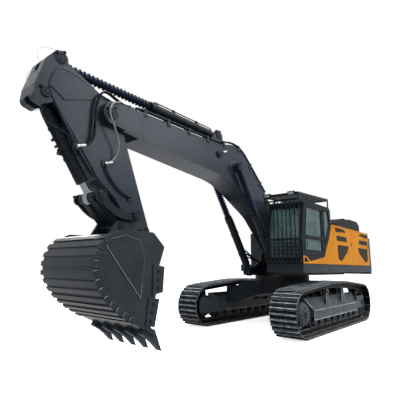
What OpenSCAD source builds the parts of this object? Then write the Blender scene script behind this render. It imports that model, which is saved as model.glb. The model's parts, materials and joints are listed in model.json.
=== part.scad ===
// Crawler excavator of the 50 t class: tracks, turning house with cab, boom, stick and bucket.
// Millimetres, X forward, Y to the cab's side, Z up. The pieces are drawn about the slewing
// axis and moved at the end, so that the origin lies under the middle of the whole machine.

/* [Tracks] */
// Distance between the centre lines of the two tracks
gauge = 2740; // [2600:10:2900]
// Width of a track shoe
shoe_w = 640; // [560:10:720]
// Distance from the sprocket's axle to the idler's axle
wheelbase = 4320; // [4100:10:4500]
// Radius of a track's end over the lug tips
track_r = 540; // [520:2:570]
// Number of shoes in one track
shoe_count = 50; // [46:1:54]
// Height of the lugs on a shoe
lug_h = 32; // [22:1:40]
// Thickness of a shoe's plate
shoe_t = 18; // [14:1:22]
// Height of the chain links under a shoe
link_h = 120; // [105:1:130]
// Height of the upper run over the carrier rollers, to the lug tips
track_top = 1205; // [1180:5:1230]
// Width of the track frame between its skirts
frame_w = 360; // [340:5:380]
// Radius of a bottom roller's tread
roller_r = 105; // [95:1:110]
// Number of bottom rollers on one side
roller_count = 8; // [7:1:9]
// Distance of each carrier roller from the middle
carrier_x = 560; // [500:10:620]

/* [Slewing ring and house] */
// Outer radius of the slewing ring
ring_r = 780; // [720:5:820]
// Height of the slewing ring's upper face
ring_z = 1335; // [1315:5:1350]
// Half the width of the house over its sills
house_half = 1500; // [1460:5:1540]
// Height of the underside of the sills
sill_z = 1430; // [1420:2:1450]
// Height of a sill
sill_h = 214; // [190:2:230]
// Length of the house behind the slewing axis
tail = 4050; // [3950:10:4150]
// Length of the counterweight
weight_len = 500; // [440:10:540]
// Height of the engine bay's top
bay_z = 2750; // [2700:5:2800]
// Thickness of the bay's panels and doors
panel_t = 40; // [30:1:50]

/* [Cab] */
// Front of the cab before the slewing axis
cab_front = 1810; // [1760:5:1860]
// Length of the cab
cab_len = 1900; // [1840:5:1960]
// Height of the cab's roof
cab_z = 3200; // [3140:5:3260]
// Thickness of the cab's walls
wall = 50; // [40:1:60]
// Height of the guard over the roof
guard_h = 150; // [130:5:170]
// Number of upright bars in the front guard
guard_bars = 9; // [7:1:11]
// Diameter of a guard bar
guard_d = 26; // [20:1:30]

/* [Boom] */
// Distance from the boom's foot pin to its tip pin
boom_len = 6540; // [6400:10:6700]
// Angle of the boom's chord over the ground
boom_angle = 17.4; // [15:0.1:20]
// Half the width of the boom
boom_half = 310; // [290:2:312]
// Thickness of the boom's and the stick's plates
plate_t = 18; // [14:1:24]
// Height of the boom's foot pin
foot_z = 2100; // [2070:5:2130]
// Distance of the foot pin before the slewing axis
foot_x = 250; // [220:5:280]
// Radius of the boom's and the stick's pins
pin_r = 65; // [55:1:70]

/* [Cylinders] */
// Radius of a cylinder's barrel
barrel_r = 92; // [84:1:94]
// Radius of a piston rod
rod_r = 58; // [50:1:64]
// Length of a boom cylinder's barrel from its pin
boom_barrel = 1750; // [1700:5:1790]
// Length of the arm cylinder's barrel from its pin
arm_barrel = 2140; // [2080:5:2180]
// Length of the bucket cylinder's barrel from its pin
bucket_barrel = 1440; // [1400:5:1460]

/* [Stick and bucket] */
// Distance from the stick's pivot to the bucket pin
stick_len = 2130; // [2080:5:2200]
// Angle of the stick behind the plumb line
stick_lean = 22.9; // [20:0.1:26]
// Half the width of the stick
stick_half = 220; // [205:1:222]
// Width of the bucket
bucket_w = 1454; // [1400:2:1520]
// Thickness of the bucket's plates
bucket_t = 30; // [24:1:36]
// Number of teeth
tooth_count = 5; // [4:1:6]
// Number of wear strips on the bucket's back
strip_count = 12; // [9:1:14]

/* [Hidden] */

// Overrun of a cut past the face that it opens
over = 5;
// Gap between pieces that move on each other at a pin
run_gap = 0.5;
// Gap between pieces that lie against each other
seat = 0.3;
// Side gap between the eyes and ears of the linkage
side_gap = 8;
// Steps in one rounded corner of an outline
corner_steps = 6;
$fn = 48;

// Places of the pins, as [X, Z] about the slewing axis
foot = [foot_x, foot_z];
tip = foot + boom_len * [cos(boom_angle), sin(boom_angle)];
bucket_pin = tip + stick_len * [-sin(stick_lean), -cos(stick_lean)];

function unit(v) = v / norm(v);
function turn(v, a) = [v.x * cos(a) - v.y * sin(a), v.x * sin(a) + v.y * cos(a)];
function arc_pts(c, r, a0, a1, n) =
    [for (k = [0:n]) c + r * [cos(a0 + (a1 - a0) * k / n), sin(a0 + (a1 - a0) * k / n)]];
function swing(a) = a > 180 ? a - 360 : a < -180 ? a + 360 : a;
// Corner b between a and c, rounded with radius r
function corner(a, b, c, r) = r == 0 ? [b] :
    let (u = unit(a - b), w = unit(c - b), half = acos(u * w) / 2, m = b + unit(u + w) * r / sin(half),
        p = b + u * r / tan(half) - m, q = b + w * r / tan(half) - m,
        a0 = atan2(p.y, p.x), sweep = swing(atan2(q.y, q.x) - a0))
    arc_pts(m, r, a0, a0 + sweep, corner_steps);
// Outline through rows of [point, corner radius]
function rounded(rows) = let (n = len(rows))
    [for (i = [0:n - 1]) each corner(rows[(i + n - 1) % n][0], rows[i][0], rows[(i + 1) % n][0],
        rows[i][1])];

// Outline in X and Z, extruded from y0 to y1
module plate(y0, y1) translate([0, y1, 0]) rotate([90, 0, 0]) linear_extrude(y1 - y0) children();
// Bar along Y about the point p in X and Z
module bar_y(p, r, y0, y1) translate([p.x, y0, p.y]) rotate([-90, 0, 0]) cylinder(r = r, h = y1 - y0);
// Both sides of the middle plane
module both() { children(); mirror([0, 1, 0]) children(); }
// Frame whose X axis runs from the point p towards the point q in X and Z
module along(p, q) translate([p.x, 0, p.y]) rotate([0, -atan2(q.y - p.y, q.x - p.x), 0]) children();
// Box between two corners
module block(lo, hi) translate(lo) cube(hi - lo);

// Tracks: the path runs along the inner face of the shoes' plates
axle_z = track_r;
path_r = track_r - lug_h - shoe_t;
path_top = track_top - lug_h - shoe_t;
half_base = wheelbase / 2;
to_carrier = [carrier_x - half_base, path_top - axle_z];
leave_angle = atan2(to_carrier.y, to_carrier.x) - acos(path_r / norm(to_carrier));
end_steps = 40;
path = concat([[0, axle_z - path_r]],
    arc_pts([half_base, axle_z], path_r, -90, leave_angle, end_steps),
    [[carrier_x, path_top], [-carrier_x, path_top]],
    arc_pts([-half_base, axle_z], path_r, 180 - leave_angle, 270, end_steps),
    [[0, axle_z - path_r]]);
path_s = [for (i = 0, s = 0; i < len(path); i = i + 1,
    s = i < len(path) ? s + norm(path[i] - path[i - 1]) : s) s];
path_len = path_s[len(path_s) - 1];
shoe_pitch = path_len / shoe_count;
path_x = [for (i = [0:len(path) - 1]) [path_s[i], path[i].x]];
path_z = [for (i = [0:len(path) - 1]) [path_s[i], path[i].y]];
function on_path(i) = let (s = ((i + shoe_count) % shoe_count) * shoe_pitch) [lookup(s, path_x), lookup(s,
    path_z)];
joints = [for (i = [0:shoe_count - 1]) on_path(i)];
function link_dir(i) = unit(joints[(i + 1) % shoe_count] - joints[i]);
function out_of(d) = [d.y, -d.x];
// Shoe outline as [share of the half pitch along, share of the lug's height, share of the plate's thickness]
shoe_shares = [[-0.95, 0, 0.4], [-0.95, 1, 1], [-0.84, 1, 1], [-0.74, 0, 1], [0.0, 0, 1],
    [0.08, 1, 1], [0.20, 1, 1], [0.28, 0, 1], [0.95, 0, 1], [0.95, 0, 0.4]];
shoe_outline = [for (i = [0:shoe_count - 1])
    let (d = link_dir(i), o = out_of(d), a = joints[i], b = joints[(i + 1) % shoe_count], m = (a + b) / 2)
    for (p = shoe_shares) m + d * norm(b - a) / 2 * p[0] + o * (lug_h * p[1] + shoe_t * p[2])];
function joint_at(i, n) = let (o = unit(out_of(link_dir(i)) + out_of(link_dir((i + shoe_count - 1)
    % shoe_count))))
    joints[i] + o * n;
function loop_at(n) = [for (i = [0:shoe_count - 1]) joint_at(i, n)];
chain_y = 55;
chain_t = 60;
chain_bite = 2;
rail_z = lug_h + shoe_t + link_h;
rail_sag_share = cos(90 * shoe_pitch / (path_r * PI));

module ring_2d(outer, inner) polygon(concat(outer, inner),
    [[for (i = [0:len(outer) - 1]) i], [for (i = [0:len(inner) - 1]) len(outer) + i]]);
// One track about its own middle plane: shoes on two rows of chain links
module track_loop() {
    plate(-shoe_w / 2, shoe_w / 2) ring_2d(shoe_outline, joints);
    both() plate(chain_y, chain_y + chain_t) ring_2d(loop_at(chain_bite), loop_at(-link_h));
}
module track_left() color("#26282a") translate([0, gauge / 2, 0]) track_loop();
module track_right() color("#26282a") translate([0, -gauge / 2, 0]) track_loop();

// Pieces of both undercarriage sides are drawn about a track's own middle plane
module each_track() for (s = [-1, 1]) translate([0, s * gauge / 2, 0]) children();
inner_r = (path_r - link_h) * rail_sag_share;

// Sprocket at the front end, with the smooth cover of its final drive on the outer side
sprocket_teeth = 12;
sprocket_half = 40;
tooth_h = 62;
drive_r = 265;
drive_out = 305;
drive_in = 215;
cover_step_share = 0.72;
cover_flat_share = 0.7;
cover_fillet = 35;
hub_r = 120;
sprocket_pts = [for (i = [0:sprocket_teeth - 1], k = [[-0.30, 0], [-0.12, 1], [0.12, 1], [0.30, 0]])
    let (a = 360 * (i + k[0]) / sprocket_teeth, r = inner_r - seat + tooth_h * k[1]) r * [cos(a), sin(a)]];
module sprocket_one(s) translate([half_base, 0, axle_z]) {
    rotate([90, 0, 0]) linear_extrude(2 * sprocket_half, center = true) polygon(sprocket_pts);
    rotate([90 * -s, 0, 0]) rotate_extrude() polygon(rounded([
        [[0, -drive_in], 0], [[drive_r, -drive_in], 0], [[drive_r, drive_out * cover_step_share],
            cover_fillet],
        [[drive_r * cover_flat_share, drive_out], cover_fillet], [[0, drive_out], 0]]));
}
module sprockets() color("#2b2e30") for (s = [-1, 1]) translate([0, s * gauge / 2, 0]) sprocket_one(s);

// Idler at the rear end: a rim with a hub on a fixed axle
wheel_gap = 2;
idler_r = inner_r - wheel_gap;
idler_half = chain_y + chain_t;
idler_rim = 90;
idler_web = 30;
axle_r = 55;
axle_half = frame_w / 2 - seat;
module idler_one() translate([-half_base, 0, axle_z]) rotate([-90, 0, 0]) rotate_extrude() polygon([
    [0, -axle_half], [axle_r, -axle_half], [axle_r, -idler_half], [hub_r, -idler_half], [hub_r, -idler_web],
    [idler_r - idler_rim, -idler_web], [idler_r - idler_rim, -idler_half], [idler_r, -idler_half],
    [idler_r, idler_half], [idler_r - idler_rim, idler_half], [idler_r - idler_rim, idler_web],
    [hub_r, idler_web], [hub_r, idler_half], [axle_r, idler_half], [axle_r, axle_half], [0, axle_half]]);
module idlers() color("#2b2e30") each_track() idler_one();

// Bottom rollers under the frame's box and carrier rollers over it
roller_z = rail_z + roller_r + seat;
roller_span_share = 0.68;
roller_span = wheelbase * roller_span_share;
roller_step = roller_span / (roller_count - 1);
roller_shaft = 38;
flange_h = 18;
module roller_one(r, half) rotate([-90, 0, 0]) rotate_extrude() polygon([
    [0, -half], [roller_shaft, -half], [roller_shaft, -idler_half], [r, -idler_half], [r, -chain_y],
    [r + flange_h, -chain_y + seat], [r + flange_h, chain_y - seat], [r, chain_y], [r, idler_half],
    [roller_shaft, idler_half], [roller_shaft, half], [0, half]]);
module bottom_rollers() color("#1f2123") each_track()
    for (i = [0:roller_count - 1]) translate([-roller_span / 2 + i * roller_step, 0, roller_z])
        roller_one(roller_r, axle_half);
carrier_r = 80;
carrier_drop = 8;
carrier_z = path_top - link_h - carrier_r - carrier_drop;
module carrier_rollers() color("#1f2123") each_track()
    for (s = [-1, 1]) translate([s * carrier_x, 0, carrier_z]) roller_one(carrier_r, axle_half);

// Track frames: one section with a sloping roof and skirts that hold the rollers, arms to both end wheels
skirt_t = 30;
skirt_out = frame_w / 2 + skirt_t;
skirt_z = roller_z - roller_shaft * 2;
box_z = roller_z + roller_r + flange_h + side_gap;
crest_z = carrier_z - carrier_r - flange_h - side_gap;
crest_half = 60;
shoulder_share = 0.36;
shoulder_z = box_z + (crest_z - box_z) * shoulder_share;
// Ends of the frame as shares of the half wheelbase: skirt's front, crest's front, rear
frame_end_shares = [0.69, 0.79, -0.77];
frame_ends = frame_end_shares * half_base;
bracket_r = 72;
carrier_plate_t = 36;
bracket_foot_share = 1.5;
yoke_low = 150;
yoke_high = 200;
yoke_fillet = 70;
arm_low = 190;
arm_high = 215;
arm_x_share = 0.58;
arm_fillet = 110;
web_len = 130;
module frame_section() polygon([[-skirt_out, skirt_z], [-skirt_out, shoulder_z], [-crest_half, crest_z],
    [crest_half, crest_z], [skirt_out, shoulder_z], [skirt_out, skirt_z], [frame_w / 2, skirt_z],
    [frame_w / 2, box_z], [-frame_w / 2, box_z], [-frame_w / 2, skirt_z]]);
// Openings of the skirts between the rollers, which leave a hanger at each shaft
hanger_share = 0.22;
window_share = 0.55;
window_top = roller_z + roller_r * window_share;
module skirt_windows() both() plate(frame_w / 2 - over, skirt_out + over)
    for (i = [0:roller_count - 2]) translate([(i + hanger_share) * roller_step - roller_span / 2,
        skirt_z - over])
        square([roller_step * (1 - 2 * hanger_share), window_top - skirt_z + over]);
module carrier_bracket_2d(x) polygon(rounded([[[x - bracket_r * bracket_foot_share, shoulder_z], 0],
    [[x + bracket_r * bracket_foot_share, shoulder_z], 0], [[x + bracket_r, carrier_z + bracket_r],
        bracket_r],
    [[x - bracket_r, carrier_z + bracket_r], bracket_r]]));
module frame_box() intersection() {
    translate([frame_ends[2], 0, 0]) rotate([90, 0,
        90]) linear_extrude(frame_ends[1] - frame_ends[2]) frame_section();
    plate(-skirt_out - over, skirt_out + over) polygon([[frame_ends[2], skirt_z - over],
        [frame_ends[0], skirt_z - over], [frame_ends[0], shoulder_z], [frame_ends[1], crest_z],
        [frame_ends[1], crest_z + over], [frame_ends[2], crest_z + over]]);
}
module frame_one() {
    difference() {
        frame_box();
        skirt_windows();
    }
    // Yoke plates that carry the idler's axle
    both() plate(frame_w / 2, skirt_out) polygon(rounded([
        [[-half_base - yoke_low, axle_z - yoke_low], yoke_fillet],
            [[frame_ends[2] + over, axle_z - yoke_low], 0],
        [[frame_ends[2] + over, shoulder_z], 0], [[frame_ends[2], axle_z + yoke_high], 0],
        [[-half_base - yoke_low, axle_z + yoke_high], yoke_fillet]]));
    // Brackets of the carrier rollers
    both() for (s = [-1, 1]) plate(frame_w / 2 - carrier_plate_t, frame_w / 2) difference() {
        carrier_bracket_2d(s * carrier_x);
        translate([s * carrier_x, carrier_z]) circle(r = roller_shaft + seat);
    }
}
// Inner arm that carries the final drive, on the side of the carbody
module drive_arm(s) translate([0, -s * (drive_in + seat + skirt_t / 2), 0]) plate(-skirt_t / 2, skirt_t / 2)
    polygon(rounded([[[half_base * arm_x_share, axle_z - arm_low], 0],
        [[half_base + drive_r, axle_z - arm_low], arm_fillet], [[half_base + drive_r, axle_z + arm_high],
            arm_fillet],
        [[half_base * arm_x_share, axle_z + arm_high], 0]]));
module drive_web(s) translate([half_base * arm_x_share, -s * (drive_in + skirt_t + frame_w / 2) / 2,
    axle_z - arm_low / 2])
    rotate([90, 0, 0]) linear_extrude(drive_in + skirt_t - frame_w / 2, center = true) square([web_len,
        arm_low]);
module track_frames() color("#2d3033") for (s = [-1, 1]) translate([0, s * gauge / 2, 0]) {
    frame_one();
    drive_arm(s);
    drive_web(s);
}

// Carbody: four arched legs from the ring's seat to the track frames
leg_w = 420;
leg_z = 560;
leg_x = 980;
ring_h = 150;
seat_z = ring_z - ring_h;
hub_half = ring_r * 0.92;
frame_in = gauge / 2 - skirt_out;
leg_rise = (crest_z - box_z) * 0.6;
arch_half = frame_in * 0.78;
arch_rise = (seat_z - leg_z) * 0.45;
arch_r = (arch_half * arch_half + arch_rise * arch_rise) / (2 * arch_rise);
arch_a = atan2(arch_r - arch_rise, arch_half);
module legs_2d() {
    circle(r = hub_half);
    for (s = [-1, 1], t = [-1, 1]) polygon([[s * (leg_x - leg_w / 2), t * frame_in],
        [s * (leg_x + leg_w / 2), t * frame_in], [s * leg_w, -t * over], [-s * leg_w * 0.1, -t * over]]);
}
module carbody() color("#2d3033") intersection() {
    translate([0, 0, leg_z - over]) linear_extrude(seat_z - leg_z + over) legs_2d();
    rotate([90, 0, 90]) linear_extrude(4 * leg_x, center = true) polygon(concat(
        [[-frame_in, leg_z], [-frame_in, leg_z + leg_rise], [-hub_half, seat_z], [hub_half, seat_z],
            [frame_in, leg_z + leg_rise], [frame_in, leg_z]],
        arc_pts([0, leg_z + arch_rise - arch_r], arch_r, arch_a, 180 - arch_a, corner_steps * 2)));
}
module slew_ring() color("#3a3d40") translate([0, 0, seat_z]) difference() {
    cylinder(r = ring_r, h = ring_h - seat);
    translate([0, 0, -over]) cylinder(r = ring_r * 0.78, h = ring_h + 2 * over);
}

// House frame: centre box on the ring with brackets for the boom and its cylinders
sill_top = sill_z + sill_h;
nose_half = 540;
cyl_y = 425;
eye_half = 58;
bracket_t = 30;
bracket_gap = 22;
bracket_in = boom_half + bracket_gap;
cyl_foot_ahead = 870;
cyl_foot_drop = 10;
cyl_foot = [foot_x + cyl_foot_ahead, sill_z - cyl_foot_drop];
foot_r = 170;
cyl_eye_r = 115;
weight_front = -tail + weight_len;
cab_rear = cab_front - cab_len;
cab_y1 = house_half;
cab_gap = 33;
cab_y0 = cyl_y + barrel_r + cab_gap;
deck_front = cab_rear;
module bracket_2d() polygon(rounded([
    [[foot.x - foot_r * 3.4, sill_top - over], 0], [[foot.x - foot_r * 1.05, foot.y + foot_r],
        foot_r * 0.9],
    [[foot.x + foot_r * 1.05, foot.y + foot_r], foot_r * 0.9],
        [[foot.x + foot_r * 2.4, sill_top + sill_h * 0.3], foot_r],
    each lug_rows(), [[foot.x - foot_r * 3.4, ring_z], 0]]));
// Lug round a boom cylinder's foot pin, kept low so that the tube swings over it
function lug_rows() = [[[cyl_foot.x - cyl_eye_r * 0.9, sill_top - sill_h * 0.3], cyl_eye_r * 0.5],
    [[cyl_foot.x + cyl_eye_r * 1.1, cyl_foot.y + cyl_eye_r * 1.1], cyl_eye_r],
    [[cyl_foot.x + cyl_eye_r * 1.1, ring_z], cyl_eye_r * 0.6]];
module house_frame() color("#4a4e52") {
    difference() {
        union() {
            block([weight_front - weight_len * 0.5, -nose_half, ring_z], [foot.x, nose_half, sill_top]);
            both() plate(bracket_in, bracket_in + bracket_t) bracket_2d();
            both() plate(nose_half - bracket_t, nose_half) polygon(rounded([
                [[foot.x - over, ring_z], 0], [[foot.x - over, sill_top], 0],
                    [[foot.x + foot_r * 2.4, sill_top], 0],
                each lug_rows()]));
            block([foot.x - over, -nose_half, ring_z],
                [foot.x + foot_r, nose_half, sill_top - sill_h * 0.6]);
        }
        // Room for the boom cylinders' eyes between their brackets
        both() plate(bracket_in + bracket_t + seat,
            nose_half - bracket_t - seat) translate(cyl_foot) circle(r = cyl_eye_r * 1.45);
    }
    bar_y(foot, pin_r, -bracket_in - bracket_t - over, bracket_in + bracket_t + over);
    both() bar_y(cyl_foot, pin_r, bracket_in, nose_half);
}
// Sills beside the centre box: under the cab and the engine bay, and under the tanks
module house_sills() color("#4a4e52") {
    block([weight_front + seat, nose_half, sill_z], [cab_front, house_half, sill_top]);
    block([weight_front + seat, -house_half, sill_z], [deck_front, -nose_half, sill_top]);
}

// Counterweight: solid casting with rounded corners, lower than the bay, with two lifting eyes
weight_low = 60;
weight_z0 = sill_z - weight_low;
weight_step = 150;
weight_top = bay_z - weight_step;
weight_drop = 180;
weight_corner = 260;
tail_bow = 60;
tail_r = 18000;
lift_r = 85;
lift_hole = 35;
lift_t = 45;
lift_at = [weight_front - weight_len / 2, weight_top + lift_r * 0.55];
module weight_2d() polygon(rounded([[[weight_front - seat, -house_half], 0],
    [[-tail + tail_bow, -house_half], weight_corner],
    [[-tail, 0], tail_r], [[-tail + tail_bow, house_half], weight_corner],
        [[weight_front - seat, house_half], 0]]));
module weight_side_2d() polygon(rounded([
    [[-tail - over, weight_z0 + weight_drop], weight_drop / 2], [[-tail - over, weight_top], weight_drop],
    [[weight_front + over, weight_top], 0], [[weight_front + over, weight_z0], 0],
    [[-tail + weight_drop, weight_z0], weight_drop / 2]]));
module lift_eye_2d() {
    translate(lift_at) circle(r = lift_r);
    translate(lift_at - [lift_r, lift_r * 1.5]) square([2 * lift_r, lift_r * 1.5]);
}
module weight_body() difference() {
    intersection() {
        translate([0, 0, weight_z0]) linear_extrude(weight_top - weight_z0) weight_2d();
        plate(-house_half - over, house_half + over) weight_side_2d();
    }
    // Seat on the frame's tail
    block([weight_front - weight_len * 0.5 - seat, -nose_half - seat, weight_z0 - over],
        [weight_front + over, nose_half + seat, sill_top + seat]);
}
module counterweight() color("#4a4e52") {
    weight_body();
    both() plate(house_half / 2, house_half / 2 + lift_t) difference() {
        lift_eye_2d();
        translate(lift_at) circle(r = lift_hole);
    }
}

// Engine as one plain block
engine_half = 700;
engine_back = 250;
engine_ahead = 100;
engine_head = 350;
module engine_block() color("#3a3d40") block([weight_front + engine_back, -engine_half, sill_top],
    [right_front - engine_ahead, engine_half, bay_z - engine_head]);

// Cab: one shell with its windows cut, a door in its left wall
cab_h = cab_z - sill_top;
door_rear_share = 0.32;
door_x0 = cab_rear + cab_len * door_rear_share;
door_ahead = 110;
door_x1 = cab_front - door_ahead;
door_low = 200;
door_z0 = sill_top + door_low;
door_high = 80;
door_z1 = cab_z - door_high;
door_gap = 6;
glass_in = 70;
rake = 190;
brow_h = 700;
brow_z = sill_top + brow_h;
brow_fillet = 60;
roof_fillet = 120;
glass_fillet = 40;
waist_share = 0.42;
waist_z = sill_top + cab_h * waist_share;
screen_low = 130;
screen_high = 180;
pane_low = 130;
pane_rib = 30;
function cab_side() = [[[cab_rear, sill_top], 0], [[cab_front, sill_top], 0],
    [[cab_front, brow_z], brow_fillet],
    [[cab_front - rake, cab_z], roof_fillet], [[cab_rear, cab_z], roof_fillet]];
// Point of the cab's side from shares of its length and height
function cab_point(p) = [cab_rear + cab_len * p[0], sill_top + cab_h * p[1]];
module cab_inner_2d() offset(delta = -wall) polygon(rounded(cab_side()));
module door_2d(g, h = 0) polygon(rounded([[[door_x0 + h, door_z0 + g], glass_fillet],
    [[door_x1 - g, door_z0 + g], glass_fillet],
    [[door_x1 - g, brow_z], glass_fillet], [[door_x1 - rake + wall - g, door_z1 - g], brow_fillet],
    [[door_x0 + h, door_z1 - g], brow_fillet]]));
quarter_shares = [[0.062, 0.685], [0.268, 0.320], [0.268, 0.93], [0.092, 0.93]];
module quarter_2d() polygon(rounded([for (p = quarter_shares) [cab_point(p), glass_fillet]]));
module side_glass_2d() polygon(rounded([[[door_x0, waist_z], glass_fillet],
    [[door_x1, waist_z], glass_fillet],
    [[door_x1, brow_z], glass_fillet], [[door_x1 - rake + wall, door_z1], brow_fillet],
        [[door_x0, door_z1], brow_fillet]]));
module cab_shell() color("#2f3438") difference() {
    plate(cab_y0, cab_y1) polygon(rounded(cab_side()));
    plate(cab_y0 + wall, cab_y1 - wall) cab_inner_2d();
    plate(cab_y1 - wall - over, cab_y1 + over) { door_2d(0); quarter_2d(); }
    plate(cab_y0 - over, cab_y0 + wall + over) { quarter_2d(); side_glass_2d(); }
    // Windscreen and rear window
    block([cab_front - rake - 2 * wall, cab_y0 + glass_in, sill_top + screen_low],
        [cab_front + over, cab_y1 - glass_in, cab_z - screen_high]);
    block([cab_rear - over, cab_y0 + glass_in, waist_z], [cab_rear + wall + over, cab_y1 - glass_in,
        cab_z - screen_high]);
}
module cab_door() color("#2f3438") difference() {
    plate(cab_y1 - wall, cab_y1) door_2d(door_gap, seat);
    // Two panes, one over the other
    plate(cab_y1 - wall - over, cab_y1 + over)
        for (k = [[waist_z + pane_rib, door_z1 - glass_in],
            [door_z0 + pane_low, waist_z - pane_rib]]) intersection() {
            door_2d(glass_in, glass_in);
            translate([door_x0, k[0]]) square([door_x1 - door_x0, k[1] - k[0]]);
        }
}
// Side skirt over the cab's lower wall, with a step loop at its front
skirt_shares = [[-0.0363, 0.003], [0.995, 0.003], [0.995, 0.118], [0.925, 0.118], [0.79, 0.036],
    [0.305, 0.117],
    [0.205, 0.287], [0.10, 0.447], [-0.02, 0.705], [-0.0363, 0.705]];
loop_shares = [[0.84, 0.03], [0.978, 0.022], [0.975, 0.1], [0.935, 0.1]];
module cab_skirt() color("#e0a030") plate(cab_y1 + seat, bay_y) difference() {
    polygon([for (p = skirt_shares) cab_point(p)]);
    polygon([for (p = loop_shares) cab_point(p)]);
}

// Front guard: upright bars before the windscreen, with a mesh panel low down
guard_gap = 70;
guard_side = 25;
guard_low = 20;
guard_rail = 34;
guard_x = cab_front + guard_gap;
guard_y0 = cab_y0 + guard_side;
guard_y1 = cab_y1 - guard_side;
guard_z0 = sill_top + guard_low;
guard_z1 = cab_z;
guard_mid_share = 0.36;
guard_mid = guard_z0 + (guard_z1 - guard_z0) * guard_mid_share;
guard_step = (guard_y1 - guard_y0) / (guard_bars - 1);
mesh_t = 8;
mesh_rows = 6;
mesh_rib = 22;
mesh_step = (guard_mid - guard_z0 - guard_rail) / mesh_rows;
stay_h = 40;
stay_shares = [0.04, 0.40];
module front_guard() color("#22262a") {
    for (i = [0:guard_bars - 1]) translate([guard_x, guard_y0 + i * guard_step, guard_z0 + over])
        cylinder(d = guard_d, h = guard_z1 - guard_z0 - 2 * over, $fn = 16);
    for (z = [guard_z0, guard_mid, guard_z1 - guard_rail])
        block([guard_x - guard_rail / 2, guard_y0 - guard_rail / 2, z],
            [guard_x + guard_rail / 2, guard_y1 + guard_rail / 2, z + guard_rail]);
    difference() {
        block([guard_x - mesh_t / 2, guard_y0, guard_z0 + over],
            [guard_x + mesh_t / 2, guard_y1, guard_mid + over]);
        for (i = [0:guard_bars - 2], k = [0:mesh_rows - 1])
            block([guard_x - guard_d, guard_y0 + i * guard_step + mesh_rib,
                guard_z0 + guard_rail + k * mesh_step + mesh_rib / 2],
                [guard_x + guard_d, guard_y0 + (i + 1) * guard_step - mesh_rib,
                    guard_z0 + guard_rail + (k + 1) * mesh_step - mesh_rib / 2]);
    }
    // Stays back to the cab's front
    for (y = [guard_y0, guard_y1], k = stay_shares) let (z = sill_top + cab_h * k)
        block([cab_front + seat, y - guard_rail / 2, z], [guard_x, y + guard_rail / 2, z + stay_h]);
}
// Roof guard: tilted slats between two rails that rise to the rear, on legs
roof_back = 90;
roof_ahead = 70;
roof_x0 = cab_rear + roof_back;
roof_x1 = guard_x + roof_ahead;
guard_rise = 100;
rail_t = 20;
rail_h = 70;
leg_t = 60;
leg_x_shares = [0, 0.68, 0.948];
slat_t = 14;
slat_w = 100;
slat_tilt = 32;
slat_count = 12;
roof_y0 = cab_y0 + over;
roof_y1 = cab_y1 - over;
function rail_top(k) = cab_z + guard_h + guard_rise * (1 - k);
function rail_x(k) = roof_x0 + (roof_x1 - roof_x0) * k;
module rail_2d() {
    polygon([[roof_x0, rail_top(0) - rail_h], [roof_x1, rail_top(1) - rail_h], [roof_x1, rail_top(1)],
        [roof_x0, rail_top(0)]]);
    for (k = leg_x_shares) polygon([[rail_x(k), cab_z + seat], [rail_x(k) + leg_t, cab_z + seat],
        [rail_x(k) + leg_t, rail_top(k) - rail_h / 2], [rail_x(k), rail_top(k) - rail_h / 2]]);
}
module roof_guard() color("#22262a") {
    for (y = [roof_y0, roof_y1 - rail_t]) plate(y, y + rail_t) rail_2d();
    for (k = [0, 1]) block([rail_x(k) - rail_t * k, roof_y0 + over, rail_top(k) - rail_h + over],
        [rail_x(k) + rail_t * (1 - k), roof_y1 - over, rail_top(k) - over]);
    for (i = [1:slat_count - 1]) let (k = i / slat_count)
        translate([rail_x(k), 0, rail_top(k) - rail_h / 2]) rotate([0, slat_tilt, 0])
            block([-slat_w / 2, roof_y0 + over, -slat_t / 2], [slat_w / 2, roof_y1 - over, slat_t / 2]);
}
// Work lamps on the roof guard's front bar
lamp_size = [75, 170, 96];
lamp_rim = 10;
lamp_in = 14;
lamp_side = 150;
lamp_z = rail_top(1) - rail_h / 2;
module work_lamps() color("#3a3d40") for (y = [cab_y0 + lamp_side, cab_y1 - lamp_side])
    translate([roof_x1 + seat, y - lamp_size.y / 2, lamp_z - lamp_size.z / 2]) difference() {
        cube(lamp_size);
        translate([lamp_size.x - lamp_in, lamp_rim, lamp_rim])
            cube([lamp_in + over, lamp_size.y - 2 * lamp_rim, lamp_size.z - 2 * lamp_rim]);
    }
// Seat with a headrest, and the consoles beside it with their levers
cab_inner = cab_y1 - cab_y0 - 2 * wall;
seat_share = 0.588;
seat_w = cab_inner * seat_share;
seat_x = cab_rear + wall + 260;
seat_y = (cab_y0 + cab_y1) / 2;
floor_z = sill_top + wall + seat;
pedestal_in = 60;
pedestal_h = 330;
cushion_h = 120;
back_t = 110;
back_h = 560;
back_tilt = 12;
head_share = 0.54;
head_w = seat_w * head_share;
head_h = 190;
module cab_seat() color("#1c1d1f") translate([seat_x, seat_y, floor_z]) {
    block([0, -seat_w / 2 + pedestal_in, 0], [seat_w, seat_w / 2 - pedestal_in, pedestal_h + over]);
    block([-back_t * 1.3, -seat_w / 2, pedestal_h], [seat_w, seat_w / 2, pedestal_h + cushion_h]);
    translate([-back_t / 2, 0, pedestal_h + cushion_h / 2]) rotate([0, -back_tilt, 0]) {
        block([-back_t, -seat_w / 2, 0], [0, seat_w / 2, back_h]);
        block([-back_t + over, -head_w / 2, back_h - over], [-over, head_w / 2, back_h + head_h]);
    }
}
console_x = 330;
console_gap = 25;
console_share = 0.141;
console_size = [480, cab_inner * console_share, 560];
console_y = (cab_inner - console_size.y) / 2 - console_gap;
lever_r = 22;
lever_h = 160;
module cab_console() color("#232527") for (s = [-1, 1]) translate([cab_rear + wall + console_x,
    seat_y + s * console_y, floor_z]) {
    translate([0, -console_size.y / 2, 0]) cube(console_size);
    translate([console_size.x - 3 * lever_r, 0, console_size.z - over]) cylinder(r1 = lever_r * 1.4,
        r2 = lever_r, h = lever_h);
}

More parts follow.
